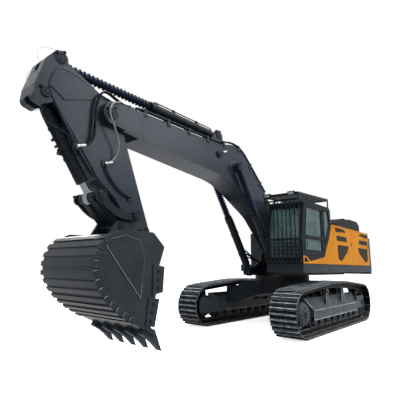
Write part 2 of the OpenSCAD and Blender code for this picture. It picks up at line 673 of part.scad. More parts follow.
// Engine bay: front walls stepped round the boom's foot, rear wall, roof rails and posts that carry the doors
skin = 16;
bay_y = house_half + skin;
bay_gap = 110;
bay_front = cab_rear - bay_gap;
mid_gap = 60;
mid_front = foot.x - foot_r * 3.4 - mid_gap - panel_t;
right_front = -1040;
left_split = -1800;
right_split = -2300;
post_half = 30;
rail_w = 120;
door_drop = 40;
door_top = bay_z - door_drop;
bay_z0 = sill_top + seat;
module bay_panels() color("#e0a030") {
    block([bay_front, cab_y0, bay_z0], [bay_front + panel_t, bay_y, bay_z]);
    block([mid_front, cab_y0, bay_z0], [bay_front + over, cab_y0 + panel_t, bay_z]);
    block([mid_front, -cab_y0, bay_z0], [mid_front + panel_t, cab_y0 + over, bay_z]);
    block([right_front, -cab_y0, bay_z0], [mid_front + panel_t, -cab_y0 + panel_t, bay_z]);
    block([right_front, -bay_y, bay_z0], [right_front + panel_t, -cab_y0 + over, bay_z]);
    // Fixed top over the front part
    translate([0, 0, bay_z - panel_t]) linear_extrude(panel_t) polygon([[right_front, -cab_y0],
        [mid_front + over, -cab_y0],
        [mid_front + over, cab_y0 + over], [bay_front + over, cab_y0 + over],
            [bay_front + over, bay_y - over],
        [right_front, bay_y - over]]);
    // Roof rails over the doors, rear wall and posts
    block([weight_front + seat, bay_y - rail_w, door_top], [bay_front + over, bay_y, bay_z]);
    block([weight_front + seat, -bay_y, door_top], [right_front + over, -bay_y + rail_w, bay_z]);
    block([weight_front + seat, -bay_y + panel_t + over, bay_z0],
        [weight_front + panel_t, bay_y - panel_t - over, bay_z]);
    block([left_split - post_half, bay_y - panel_t, bay_z0],
        [left_split + post_half, bay_y, door_top + over]);
    block([weight_front + seat, -bay_y, bay_z0], [right_split + post_half, -bay_y + panel_t,
        door_top + over]);
}
// Grilles of a bay door: outlines of [share from the door's front, share up from the sill]
grille_shares = [
    [[0.19, 0.52], [0.755, 0.52], [0.70, 0.37], [0.35, 0.11], [0.21, 0.155]],
    [[0.17, 0.645], [0.69, 0.645], [0.67, 0.765], [0.155, 0.765]],
    [[0.10, 0.97], [0.54, 0.97], [0.66, 0.91], [0.13, 0.87]]];
rear_shift_share = -0.065;
slot_h = 26;
slot_pitch = 38;
grille_deep = 24;
module grilles_2d(front, rear, shift) intersection() {
    for (g = grille_shares) polygon([for (p = g)
        [front + (rear - front) * (p[0] + shift), sill_top + (door_top - sill_top) * p[1]]]);
    for (z = [sill_top:slot_pitch:door_top]) translate([min(front, rear), z]) square([abs(rear - front),
        slot_h]);
}
// Bay door between x0 and x1 on the side s, with grilles counted from the edge front
module bay_door(x0, x1, s, front, rear, shift) difference() {
    block([x0 + side_gap, min(s * bay_y, s * (bay_y - panel_t)), sill_top + side_gap],
        [x1 - seat, max(s * bay_y, s * (bay_y - panel_t)), door_top - side_gap]);
    plate(min(s * (bay_y + over), s * (bay_y - grille_deep)), max(s * (bay_y + over),
        s * (bay_y - grille_deep)))
        grilles_2d(front, rear, shift);
}
module left_front_door() color("#e0a030")
    bay_door(left_split + post_half, bay_front, 1, bay_front, left_split + post_half, 0);
module left_rear_door() color("#e0a030")
    bay_door(weight_front, left_split - post_half, 1, weight_front, left_split - post_half,
        rear_shift_share);
module right_door() color("#e0a030")
    bay_door(right_split + post_half, right_front, -1, right_front, right_split + post_half, 0);
hood_x0 = weight_front + panel_t + 2 * seat;
hood_x1 = right_front - side_gap;
hood_half = bay_y - rail_w - side_gap;
module bay_hood() color("#e0a030") block([hood_x0, -hood_half, bay_z - panel_t],
    [hood_x1, hood_half, bay_z]);
// Covers on the hood as [share of the hood's length from its front, share of the hump's height]
hump_h = 470;
hump_edge = 88;
hump_w = 1150;
hump_y1 = hood_half - hump_edge;
hump_y0 = hump_y1 - hump_w;
hump_fillet = 40;
cleaner_shares = [[0.474, 0], [0.02, 0], [0.02, 0.32], [0.06, 0.56], [0.324, 0.80], [0.474, 0.64]];
exhaust_shares = [[0.969, 0], [0.482, 0], [0.482, 0.76], [0.54, 0.86], [0.865, 0.85], [0.969, 0.604]];
function hood_point(p) = [hood_x1 + (hood_x0 - hood_x1) * p[0], bay_z + seat + hump_h * p[1]];
module hump_2d(shares) polygon(rounded([for (p = shares) [hood_point(p), p[1] == 0 ? 0 : hump_fillet]]));
module air_cleaner_cover() color("#17191b") plate(hump_y0, hump_y1) hump_2d(cleaner_shares);
rib_count = 7;
rib_gap = 34;
rib_in = 24;
exhaust_in = 20;
module exhaust_cover() color("#17191b") difference() {
    plate(hump_y0 + exhaust_in, hump_y1 - exhaust_in) hump_2d(exhaust_shares);
    for (i = [1:rib_count]) let (y = hump_y0 + exhaust_in + (hump_y1 - hump_y0 - 2 * exhaust_in)
        * i / (rib_count + 1))
        plate(y - rib_gap / 2, y + rib_gap / 2) difference() {
            translate(hood_point([1, 0.3])) square([hood_x1 - hood_x0, hump_h]);
            offset(delta = -rib_in) hump_2d(exhaust_shares);
        }
}

// Tanks on the right deck
tank_gap = 30;
tank_in = -(nose_half + tank_gap);
tank_t = 8;
tank_split = -700;
tank_back = 60;
tank_front = deck_front - tank_back;
oil_low = 60;
fuel_low = 500;
fuel_share = 0.527;
fuel_w = (house_half + tank_in) * fuel_share;
// Sheet tank between two corners, hollow inside
module tank(lo, hi) difference() {
    block(lo, hi);
    block(lo + [tank_t, tank_t, tank_t], hi - [tank_t, tank_t, tank_t]);
}
module tank_oil() color("#3f4347") tank([right_front + panel_t + seat, -house_half, bay_z0],
    [tank_split, tank_in, bay_z - oil_low]);
module tank_fuel() color("#3f4347") tank([tank_split + seat, tank_in - fuel_w, bay_z0],
    [tank_front, tank_in, bay_z - fuel_low]);

// Boom: gooseneck box between two side plates, drawn along its chord from the foot pin
// Outline as [share of the length along the chord, share of the length above it, corner radius share]
boom_shares = [[-0.028, -0.024, 0.024], [0.030, -0.030, 0.02], [0.230, 0.058, 0.20], [0.470, 0.094, 0.32],
    [0.90, -0.006, 0.1],
    [1.022, -0.030, 0.026], [1.030, 0.026, 0.026], [0.955, 0.055, 0.05], [0.580, 0.178, 0.2],
        [0.470, 0.245, 0.13],
    [0.200, 0.138, 0.3], [-0.026, 0.030, 0.026]];
head_rib = 14;
fork_in = stick_half + head_rib + side_gap;
fork_share = 0.895;
cyl_pin_shares = [0.467, 0.146];
tip_r = 175;
boom_boss = 150;
nose_t = 14;
nose_edge_shares = [[0.895, -0.2], [1.1, -0.2], [1.1, 0.2], [0.915, 0.2]];
module boom_2d() polygon(rounded([for (p = boom_shares) [[p[0], p[1]] * boom_len, p[2] * boom_len]]));
module in_boom() translate([foot.x, 0, foot.y]) rotate([0, -boom_angle, 0]) children();
arm_cyl_shares = [0.557, 0.242];
arm_cyl_foot = arm_cyl_shares * boom_len;
arm_ear_r = 120;
arm_eye_half = 62;
module boom() color("#474c52") in_boom() difference() {
    union() {
        plate(-boom_half, boom_half) boom_2d();
        // Casting of the nose, thicker than the side plates
        both() plate(boom_half - over, boom_half + nose_t) intersection() {
            boom_2d();
            polygon(nose_edge_shares * boom_len);
        }
        both() bar_y([0, 0], foot_r, 0, boom_half + side_gap);
        both() bar_y([boom_len, 0], tip_r, fork_in, boom_half + nose_t + side_gap);
        both() bar_y(cyl_pin_shares * boom_len, boom_boss, 0, boom_half + side_gap);
        // Ears of the arm cylinder's foot
        both() plate(arm_eye_half + side_gap, arm_eye_half + side_gap + 2 * plate_t) polygon(rounded([
            [arm_cyl_foot + [-2.6 * arm_ear_r, -2.2 * arm_ear_r], 0], [arm_cyl_foot + [1.9 * arm_ear_r,
                -3.2 * arm_ear_r], 0],
            [arm_cyl_foot + [arm_ear_r, arm_ear_r], arm_ear_r * 0.9], [arm_cyl_foot + [-arm_ear_r,
                arm_ear_r], arm_ear_r * 0.9]]));
    }
    // Hollow box
    plate(-boom_half + plate_t, boom_half - plate_t) intersection() {
        offset(delta = -plate_t * 1.4) boom_2d();
        translate([foot_r * 1.4, -boom_len / 2])
            square([boom_len * fork_share - foot_r * 1.4 - 4 * plate_t, boom_len]);
    }
    // Fork for the stick
    plate(-fork_in, fork_in) translate([boom_len * fork_share, -boom_len / 2]) square(boom_len);
    bar_y([0, 0], pin_r + run_gap, -house_half, house_half);
}
module tip_pin() in_boom() bar_y([boom_len, 0], pin_r, -boom_half - nose_t - 2 * side_gap,
    boom_half + nose_t + 2 * side_gap);

// Hydraulic cylinders: a tube closed at its eye, a rod that slides in it, each along X from its pin
bore_gap = 8;
tube_bore = rod_r + bore_gap;
eye_r = 105;
gland = 130;
gland_step = 8;
tube_start_share = 1.95;
bore_start_share = 2.15;
rod_end_share = 0.7;
function boom_pin() = foot + turn(cyl_pin_shares * boom_len, boom_angle);
module barrel_along(len, half) difference() {
    union() {
        bar_y([0, 0], eye_r, -half, half);
        rotate([0, 90, 0]) cylinder(r = half - run_gap, h = eye_r * tube_start_share + over);
        translate([eye_r * tube_start_share, 0, 0]) rotate([0, 90, 0])
            cylinder(r = barrel_r, h = len - gland - eye_r * tube_start_share + over);
        translate([len - gland, 0, 0]) rotate([0, 90, 0]) cylinder(r = barrel_r + gland_step, h = gland);
    }
    translate([eye_r * bore_start_share, 0, 0]) rotate([0, 90, 0])
        cylinder(r = tube_bore, h = len - gland - eye_r * bore_start_share);
    translate([len - gland - over, 0, 0]) rotate([0, 90, 0]) cylinder(r = rod_r + seat,
        h = gland + 2 * over);
    bar_y([0, 0], pin_r + run_gap, -half - over, half + over);
}
// Rod from its inner end to its eye at the distance reach from the barrel's pin
module rod_along(inner, reach, half, r) {
    translate([inner, 0, 0]) rotate([0, 90, 0]) cylinder(r = r, h = reach - inner - eye_r * rod_end_share);
    bar_y([reach, 0], eye_r, -half, half);
}
boom_reach = norm(boom_pin() - cyl_foot);
boom_inner = 1180;
arm_inner = 1900;
bucket_inner = 330;
module boom_barrels() color("#33373b") for (s = [-1, 1]) translate([0, s * cyl_y, 0])
    along(cyl_foot, boom_pin()) barrel_along(boom_barrel, eye_half);
module boom_rods() color("#1b2030") for (s = [-1, 1]) translate([0, s * cyl_y, 0])
    along(cyl_foot, boom_pin()) rod_along(boom_inner, boom_reach, eye_half, rod_r);

// Stick: box with a wide head, in the frame of the stick's pivot with X towards the bucket pin
// Outline as shares of the stick's length: [along to the bucket pin, towards the front, corner radius]
stick_shares = [[-0.10, -0.10, 0.09], [0.98, -0.088, 0.1], [1.07, -0.07, 0.06], [1.07, 0.07, 0.06],
    [0.90, 0.09, 0.1], [0.64, 0.165, 0.15], [0.47, 0.262, 0.1], [-0.13, 0.43, 0.02],
    [-0.12, 0.52, 0.03], [-0.175, 0.59, 0.04], [-0.27, 0.54, 0.06], [-0.443, 0.404, 0.05],
    [-0.492, 0.318, 0.04], [-0.47, 0.262, 0.03], [-0.403, 0.237, 0.08], [-0.178, 0.031, 0.1]];
// Raised plate on each side of the head, and the room of the arm cylinder's rod between the head's plates
head_shares = [[-0.255, 0.442], [-0.378, 0.334], [-0.378, 0.288], [-0.226, 0.072], [-0.13, 0.09],
    [-0.14, 0.36]];
rod_room_shares = [[-0.20, -0.2], [-0.28, 0.10], [-0.295, 0.22], [-0.31, 0.33], [-0.40, 0.50],
    [-0.52, 0.52], [-0.70, 0.50], [-0.70, -0.2]];
arm_pin_shares = [-0.44, 0.285];
bucket_cyl_shares = [-0.20, 0.48];
guide_shares = [0.83, 0.05];
// Point of the stick from its shares, as [X, Z] about the slewing axis
function stick_point(p) = tip + stick_len * (p[0] * [-sin(stick_lean),
    -cos(stick_lean)] + p[1] * [cos(stick_lean), -sin(stick_lean)]);
arm_pin = stick_point(arm_pin_shares);
bucket_cyl_pin = stick_point(bucket_cyl_shares);
guide_pin = stick_point(guide_shares);
pivot_r = 190;
nose_r = 150;
guide_boss = 70;
ear_t = 50;
guide_in = stick_half + 2 * side_gap + ear_t + side_gap;
slot_half = arm_eye_half + side_gap;
arm_boss = 115;
boss_t = 10;
slot_share = 1.6;
slot_len_share = 0.4;
tube_gap = 26;
tube_room = barrel_r + tube_gap;
module stick_world_2d() {
    polygon(rounded([for (p = stick_shares) [stick_point(p), p[2] * stick_len]]));
    translate(arm_pin) circle(r = arm_boss);
}
module stick() color("#474c52") {
    difference() {
        union() {
            plate(-stick_half, stick_half) stick_world_2d();
            bar_y(tip, pivot_r, -fork_in + side_gap / 2, fork_in - side_gap / 2);
            bar_y(guide_pin, guide_boss, -guide_in + side_gap / 2, guide_in - side_gap / 2);
            both() plate(stick_half - over, stick_half + head_rib) polygon([for (p = head_shares)
                stick_point(p)]);
            both() bar_y(arm_pin, arm_boss - boss_t, stick_half - over, stick_half + boss_t);
        }
        // Hollow box
        plate(-stick_half + plate_t, stick_half - plate_t) difference() {
            offset(delta = -plate_t * 1.4) stick_world_2d();
            translate(tip) circle(r = pivot_r);
            translate(bucket_pin) circle(r = nose_r * 1.2);
            translate(arm_pin) circle(r = arm_ear_r * 2);
            translate(bucket_cyl_pin) circle(r = arm_ear_r * 2);
        }
        // Slots for the rod of the arm cylinder and the foot of the bucket cylinder
        plate(-slot_half, slot_half) {
            polygon([for (p = rod_room_shares) stick_point(p)]);
            translate(bucket_cyl_pin) circle(r = eye_r * slot_share);
            translate(bucket_cyl_pin) rotate(-90 - stick_lean) translate([0, -eye_r * slot_share])
                square([stick_len * slot_len_share, stick_len]);
        }
        // Room for the bucket cylinder's tube before the front edge
        plate(-tube_room, tube_room) translate(bucket_cyl_pin) rotate(tube_angle)
            translate([eye_r * slot_share, -tube_room]) square(stick_len);
        bar_y(tip, pin_r + run_gap, -house_half, house_half);
    }
    bar_y(bucket_cyl_pin, pin_r, -stick_half - side_gap, stick_half + side_gap);
    bar_y(bucket_pin, pin_r, -stick_half - 2 * side_gap - ear_t, stick_half + 2 * side_gap + ear_t);
    bar_y(guide_pin, pin_r * 0.8, -guide_in - ear_t - side_gap, guide_in + ear_t + side_gap);
}

// Arm cylinder on the boom's back
arm_foot = foot + turn(arm_cyl_foot, boom_angle);
arm_reach = norm(arm_pin - arm_foot);
module arm_barrel_tube() color("#33373b") along(arm_foot, arm_pin) barrel_along(arm_barrel, arm_eye_half);
module arm_rod() color("#1b2030") along(arm_foot, arm_pin)
    rod_along(arm_inner, arm_reach, arm_eye_half - side_gap, rod_r);
module arm_foot_pin() bar_y(arm_foot, pin_r, -arm_eye_half - side_gap - 2 * plate_t,
    arm_eye_half + side_gap + 2 * plate_t);

// Linkage: curved guide links on the stick, a yoke link to the bucket
link_pin_shares = [0.87, 0.195];
knee_shares = [0.594, 0.312];
link_pin = stick_point(link_pin_shares);
knee = stick_point(knee_shares);
tube_angle = atan2(knee.y - bucket_cyl_pin.y, knee.x - bucket_cyl_pin.x);
link_r = 95;
waist_r = 66;
guide_bend_share = 0.30;
bend_steps = 8;
function bend_at(p, c, q, t) = (1 - t) * (1 - t) * p + 2 * t * (1 - t) * c + t * t * q;
function bend_out(p, c, q, t) = out_of(unit((1 - t) * (c - p) + t * (q - c)));
module bone_2d(p, q, r, waist, bend = 0) {
    c = (p + q) / 2 + out_of(q - p) * bend;
    translate(p) circle(r = r);
    translate(q) circle(r = r);
    polygon(concat([for (k = [0:bend_steps]) bend_at(p, c, q, k / bend_steps) + bend_out(p, c, q,
        k / bend_steps) * waist],
        [for (k = [bend_steps:-1:0]) bend_at(p, c, q, k / bend_steps) - bend_out(p, c, q,
            k / bend_steps) * waist]));
}
module guide_links() color("#33373b") both() plate(guide_in + seat, guide_in + ear_t - seat) difference() {
    bone_2d(guide_pin, knee, link_r, waist_r, guide_bend_share);
    translate(guide_pin) circle(r = pin_r * 0.8 + run_gap);
}
yoke_in = arm_eye_half + side_gap;
yoke_out = stick_half - 2 * side_gap;
yoke_tube_share = 0.86;
module bucket_link() color("#33373b") difference() {
    union() {
        both() plate(yoke_in, yoke_out) bone_2d(link_pin, knee, link_r, waist_r);
        bar_y(link_pin, link_r * yoke_tube_share, -yoke_out, yoke_out);
    }
    bar_y(link_pin, pin_r * 0.8 + run_gap, -house_half, house_half);
}
bucket_reach = norm(knee - bucket_cyl_pin);
module bucket_barrel_tube() color("#33373b") along(bucket_cyl_pin, knee) barrel_along(bucket_barrel,
    arm_eye_half);
module bucket_rod() color("#8d9296") along(bucket_cyl_pin, knee)
    rod_along(bucket_inner, bucket_reach, arm_eye_half, rod_r);

// Bucket: wrapper between two side plates, open towards the machine, with ears on its back
bucket_half = bucket_w / 2;
bucket_deep = 1300;
// Side outline from the bucket pin as [forward, up, corner radius], shares of the bucket's depth
bucket_side_shares = [[-0.063, -0.18, 0.03], [0.137, -0.003, 0.08], [0.668, -0.018, 0.12], [0.79, -0.08, 0.2],
    [0.914, -0.18, 0.2], [0.983, -0.342, 0.25], [0.99, -0.526, 0.3], [0.898, -0.695, 0.3],
    [0.783, -0.834, 0.3], [0.606, -0.972, 0.3], [0.39, -1.095, 0.3], [0.16, -1.21, 0.1],
    [0.052, -1.265, 0], [0.13, -1.16, 0.02], [0.06, -0.78, 0.03], [0.02, -0.42, 0.05]];
strip_from = 3;
strip_to = 10;
lip_row = 12;
// Side cutters on the front edge, raised heart plate on each side
cutter_shares = [[[0.13, -0.40], [-0.055, -0.434], [-0.04, -0.75], [0.13, -0.78]],
    [[0.19, -0.80], [0.014, -0.826], [0.083, -1.16], [0.22, -1.13]]];
heart_shares = [[0.315, -0.81], [0.275, -0.334], [0.352, -0.126], [0.575, -0.072], [0.80, -0.134],
    [0.845, -0.21]];
mouth_shares = [[-0.4, -0.27], [0.2, -0.27], [0.2, -1.14], [-0.4, -1.30]];
room_shares = [[-0.4, 0.3], [1.1, 0.3], [0.70, -0.12], [0.55, -0.15], [-0.1, -0.21], [-0.4, -0.21]];
cutter_t = 24;
heart_t = 12;
strip_t = 22;
strip_w = 80;
tab_deep = 70;
function bucket_point(p) = bucket_pin + bucket_deep * [p[0], p[1]];
module bucket_2d() polygon(rounded([for (p = bucket_side_shares) [bucket_point(p), p[2] * bucket_deep]]));
module shares_2d(shares) polygon([for (p = shares) bucket_point(p)]);
// Points and places along the back for the wear strips
back_pts = [for (i = [strip_from:strip_to]) bucket_point(bucket_side_shares[i])];
back_s = [for (i = 0, s = 0; i < len(back_pts); i = i + 1,
    s = i < len(back_pts) ? s + norm(back_pts[i] - back_pts[i - 1]) : s) s];
back_len = back_s[len(back_s) - 1];
back_x = [for (i = [0:len(back_pts) - 1]) [back_s[i], back_pts[i].x]];
back_z = [for (i = [0:len(back_pts) - 1]) [back_s[i], back_pts[i].y]];
function on_back(s) = [lookup(s, back_x), lookup(s, back_z)];
module strip_at(s) {
    p = on_back(s - strip_w / 2);
    q = on_back(s + strip_w / 2);
    m = (p + q) / 2;
    d = unit(q - p);
    translate(m) rotate(atan2(d.y, d.x)) children();
}
module wear_strips() for (i = [0:strip_count - 1]) let (s = back_len * (i + 0.5) / strip_count) {
    plate(-bucket_half - strip_t, bucket_half + strip_t) strip_at(s) translate([-strip_w / 2,
        -bucket_t / 2])
        square([strip_w, bucket_t / 2 + strip_t]);
    both() plate(bucket_half - over, bucket_half + strip_t) strip_at(s) translate([-strip_w / 2, -tab_deep])
        square([strip_w, tab_deep + strip_t]);
}
ear_in = stick_half + side_gap;
module ear_2d() polygon(rounded([
    [bucket_pin + [-nose_r, 0], nose_r * 0.5], [bucket_pin + [-nose_r * 0.8, nose_r], nose_r * 0.8],
    [bucket_pin + [nose_r * 0.9, nose_r], nose_r * 0.6], [(bucket_pin + link_pin) / 2 + [0, nose_r * 0.6],
        nose_r],
    [link_pin + [-link_r * 0.6, link_r], link_r * 0.7], [link_pin + [link_r, link_r], link_r * 0.9],
    [link_pin + [link_r * 3.4, -link_r * 3.0], 0], [bucket_pin + [-nose_r * 0.2, -nose_r * 2.1], 0]]));
module bucket() color("#474c52") {
    difference() {
        union() {
            plate(-bucket_half, bucket_half) bucket_2d();
            both() plate(bucket_half - over, bucket_half + heart_t) shares_2d(heart_shares);
            both() for (k = cutter_shares) plate(bucket_half - bucket_t,
                bucket_half + cutter_t) shares_2d(k);
            wear_strips();
        }
        // Inside, open towards the machine
        plate(-bucket_half + bucket_t, bucket_half - bucket_t) {
            offset(delta = -bucket_t) bucket_2d();
            shares_2d(mouth_shares);
            // Room for the stick's nose over the back plate
            shares_2d(room_shares);
        }
    }
    difference() {
        both() plate(ear_in, ear_in + ear_t) ear_2d();
        bar_y(bucket_pin, pin_r + run_gap, -bucket_half, bucket_half);
    }
    bar_y(link_pin, pin_r * 0.8, -ear_in - ear_t, ear_in + ear_t);
}
// Teeth with adapters that straddle the lip
tooth_w = 110;
tooth_shares = [[0.19, -1.13], [0.03, -1.20], [-0.085, -1.45], [-0.094, -1.465], [-0.075, -1.462],
    [0.02, -1.375], [0.11, -1.305], [0.25, -1.225]];
tooth_span = bucket_w - tooth_w - 2 * bucket_t - 2 * side_gap;
module teeth() color("#3a3e43") for (i = [0:tooth_count - 1]) let (y = tooth_span * (i / (tooth_count - 1)
    - 0.5))
    plate(y - tooth_w / 2, y + tooth_w / 2) difference() {
        shares_2d(tooth_shares);
        offset(delta = seat) bucket_2d();
    }

front_reach = stick_point([-0.27, 0.545]).x;
origin_x = (front_reach - tail) / 2;
module placed() translate([-origin_x, 0, 0]) children();

placed() carbody();
placed() slew_ring();
placed() track_frames();
placed() track_left();
placed() track_right();
placed() sprockets();
placed() idlers();
placed() bottom_rollers();
placed() carrier_rollers();
placed() house_frame();
placed() house_sills();
placed() counterweight();
placed() engine_block();
placed() cab_shell();
placed() cab_door();
placed() cab_skirt();
placed() front_guard();
placed() roof_guard();
placed() work_lamps();
placed() cab_seat();
placed() cab_console();
placed() bay_panels();
placed() bay_hood();
placed() air_cleaner_cover();
placed() exhaust_cover();
placed() left_front_door();
placed() left_rear_door();
placed() right_door();
placed() tank_fuel();
placed() tank_oil();
placed() { boom(); tip_pin(); arm_foot_pin(); }
placed() boom_barrels();
placed() boom_rods();
placed() arm_barrel_tube();
placed() arm_rod();
placed() stick();
placed() bucket_barrel_tube();
placed() bucket_rod();
placed() guide_links();
placed() bucket_link();
placed() bucket();
placed() teeth();
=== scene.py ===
# %% [markdown]
# # Dressing a crawler excavator
# The solids of the machine come from the construction source and keep their place. This lesson gives them
# materials, adds the small things (glass, hoses, bolts, pin caps, seals, seat) and sets the light and camera.
# New pieces could be modelled by hand in the viewport. Here each one is a surface worked out with numpy, a
# function of two parameters or a profile along a path, so that it can be read, measured and made again.

# %% Load the frame
import json
import math
import bmesh
import bpy
import numpy as np
from mathutils import Matrix, Vector


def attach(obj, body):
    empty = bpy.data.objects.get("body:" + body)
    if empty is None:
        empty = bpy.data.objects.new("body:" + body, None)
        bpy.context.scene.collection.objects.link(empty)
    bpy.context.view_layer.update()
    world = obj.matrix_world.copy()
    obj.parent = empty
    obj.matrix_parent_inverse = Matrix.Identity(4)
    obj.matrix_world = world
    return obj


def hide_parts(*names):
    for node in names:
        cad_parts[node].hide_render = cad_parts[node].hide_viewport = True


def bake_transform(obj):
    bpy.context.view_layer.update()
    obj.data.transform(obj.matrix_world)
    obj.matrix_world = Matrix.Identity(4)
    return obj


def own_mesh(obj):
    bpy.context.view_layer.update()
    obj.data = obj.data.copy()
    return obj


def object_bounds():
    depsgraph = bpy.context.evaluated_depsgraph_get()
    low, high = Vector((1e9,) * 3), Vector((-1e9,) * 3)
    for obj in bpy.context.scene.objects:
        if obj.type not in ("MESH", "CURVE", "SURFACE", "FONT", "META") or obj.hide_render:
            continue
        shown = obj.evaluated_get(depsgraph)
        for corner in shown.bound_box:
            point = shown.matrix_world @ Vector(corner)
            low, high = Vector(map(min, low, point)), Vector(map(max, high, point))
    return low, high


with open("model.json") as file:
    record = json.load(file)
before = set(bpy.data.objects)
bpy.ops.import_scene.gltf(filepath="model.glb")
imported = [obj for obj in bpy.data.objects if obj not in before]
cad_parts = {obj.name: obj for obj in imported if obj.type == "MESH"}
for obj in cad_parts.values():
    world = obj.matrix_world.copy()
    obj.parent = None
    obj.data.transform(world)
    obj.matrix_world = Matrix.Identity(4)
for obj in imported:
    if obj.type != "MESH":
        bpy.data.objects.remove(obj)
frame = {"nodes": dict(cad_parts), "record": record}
cad_box = [list(c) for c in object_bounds()]
nodes = frame["nodes"]
joints = {j["name"]: j for j in frame["record"]["behaviour"]["joints"]}
print("CAD nodes:", len(nodes), "joints:", len(joints))

# %% [markdown]
# ## Places
# A machine like this is drawn about its slewing axis, and its boom, stick and bucket each about a pin. Every
# place could be typed in world metres. Small functions that take a pin and shares of a length are easier to
# check against the drawing, and they follow the joints' places in the record.

# %% Places on the machine
SLEW_X = joints["slew"]["pos_m"][0]
BOOM_LEN, BOOM_ANGLE = 6.54, math.radians(17.4)
STICK_LEN, STICK_LEAN = 2.13, math.radians(22.9)
BUCKET_DEEP = 1.3
QUARTER_TURN = math.pi / 2
X, Y, Z = np.eye(3)
SIDES = (-1, 1)


def at(x, y, z):
    """Point measured about the slewing axis."""
    return np.array([x + SLEW_X, y, z], float)


def heading(angle):
    """Unit vector in the machine's side plane, its angle measured from ahead to upwards."""
    return np.array([math.cos(angle), 0, math.sin(angle)])


def pin(name, y=0.0):
    """Point on a hinge's axis, y metres to the left of the middle."""
    p = joints[name]["pos_m"]
    return np.array([p[0], y, p[2]], float)


def boom_at(u, v, y=0.0):
    """Point of the boom: share u of its length along the chord, share v above it."""
    along, above = heading(BOOM_ANGLE), heading(BOOM_ANGLE + QUARTER_TURN)
    return pin("boom", y) + BOOM_LEN * (u * along + v * above)


def stick_at(a, b, y=0.0):
    """Point of the stick: share a of its length towards the bucket pin, share b to the front."""
    down, ahead = heading(-STICK_LEAN - QUARTER_TURN), heading(-STICK_LEAN)
    return pin("arm", y) + STICK_LEN * (a * down + b * ahead)


def bucket_at(u, v, y=0.0):
    """Point of the bucket: share u of its depth ahead of its pin, share v above it."""
    return pin("bucket", y) + BUCKET_DEEP * (u * X + v * Z)


def slide_axis(name):
    """Direction of a piston rod."""
    return np.array(joints[name]["axis"], float)


print("boom's tip at", boom_at(1, 0).round(3), "stick's end at", stick_at(1, 0).round(3))

# %% [markdown]
# ## Surfaces from formulas
# Pipes, pins and plates are all rows of points: a tube is a circle carried along a path, a turned piece is a
# circle whose radius follows a profile, a plate is an outline and its copy. Blender's primitives and modifiers
# could make them too. One function that skins rows of points covers them all. A part is a pair (points, faces).


# %% Skins, tubes, turned pieces and plates
def rings(rows):
    """Skin over rows of points P[i, j]: each row is a closed loop, and both ends are capped."""
    rows = np.asarray(rows, float)
    m, n = rows.shape[:2]
    here = np.arange(m * n).reshape(m, n)
    beside = np.roll(here, -1, axis=1)
    quads = np.stack([here[:-1], beside[:-1], beside[1:], here[1:]], -1).reshape(-1, 4)
    faces = [tuple(q) for q in quads.tolist()]
    faces += [tuple(here[0][::-1].tolist()), tuple(here[-1].tolist())]
    return rows.reshape(-1, 3), faces


def across(d):
    """Two unit vectors square to d and to each other, so that (first, second, d) is right-handed."""
    d = d / np.linalg.norm(d)
    u = np.cross(Z if abs(d[2]) < 0.9 else X, d)
    u /= np.linalg.norm(u)
    return u, np.cross(d, u)


def circle(u, v, n):
    """Unit circle u cos a + v sin a in n steps."""
    a = np.linspace(0, 2 * np.pi, n, endpoint=False)[:, None]
    return np.cos(a) * u + np.sin(a) * v


def tube(path, r, n=10):
    """P(t, a) = path(t) + r(t) (u cos a + v sin a), where u and v are carried along without twist."""
    path = np.asarray(path, float)
    d = np.gradient(path, axis=0)
    d /= np.linalg.norm(d, axis=1)[:, None]
    u = across(d[0])[0]
    rows = []
    for p, t, k in zip(path, d, np.broadcast_to(np.asarray(r, float), (len(path),))):
        u = u - t * (u @ t)
        u /= np.linalg.norm(u)
        rows.append(p + k * circle(u, np.cross(t, u), n))
    return rings(rows)


def turned(p, axis, profile, n=24):
    """Turned piece: P(s, a) = p + axis s + r(s) (u cos a + v sin a) for rows (s, r) of the profile."""
    ring = circle(*across(axis), n)
    return rings([p + axis * s + r * ring for s, r in profile])


def slab(points, push):
    """Flat plate: an outline of points and its copy, pushed out along a vector."""
    pts = np.asarray(points, float)
    return rings([pts, pts + np.asarray(push, float)])


print("a turned disc has", len(turned(np.zeros(3), Z, [(0, 1), (1, 1)])[1]), "faces")

# %% [markdown]
# ### From parts to objects
# A row of bolts is many parts and one object, because Blender handles one mesh of a thousand faces better than
# a hundred objects. The places stay in the mesh and the object stays at the origin, so that a pattern on
# Object coordinates has the same scale everywhere. `piece` also says which body of the machine carries it.

# %% Objects that ride on the machine
made = []


def mesh_object(name, parts, mat, angle=35):
    """One object from parts, its place in its mesh, edges over the angle kept sharp."""
    starts = np.cumsum([0] + [len(v) for v, _ in parts])
    faces = [tuple(i + start for i in q) for (_, f), start in zip(parts, starts.tolist()) for q in f]
    me = bpy.data.meshes.new(name)
    me.from_pydata(np.vstack([v for v, _ in parts]).tolist(), [], faces)
    me.validate()
    bm = bmesh.new()
    bm.from_mesh(me)
    bmesh.ops.recalc_face_normals(bm, faces=bm.faces)
    bm.to_mesh(me)
    bm.free()
    me.polygons.foreach_set("use_smooth", [True] * len(me.polygons))
    me.set_sharp_from_angle(angle=math.radians(angle))
    me.materials.append(mat)
    ob = bpy.data.objects.new(name, me)
    bpy.context.scene.collection.objects.link(ob)
    made.append((name, len(me.polygons)))
    return ob


def piece(name, parts, mat, body, angle=35):
    """Object that rides on a body, in the material given."""
    ob = mesh_object(name, parts, mat, angle)
    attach(ob, body)
    return ob


def tell(title):
    """Prints the pieces made since the last call, with their faces."""
    print(title + ":", ", ".join(f"{name} {count}" for name, count in made))
    made.clear()
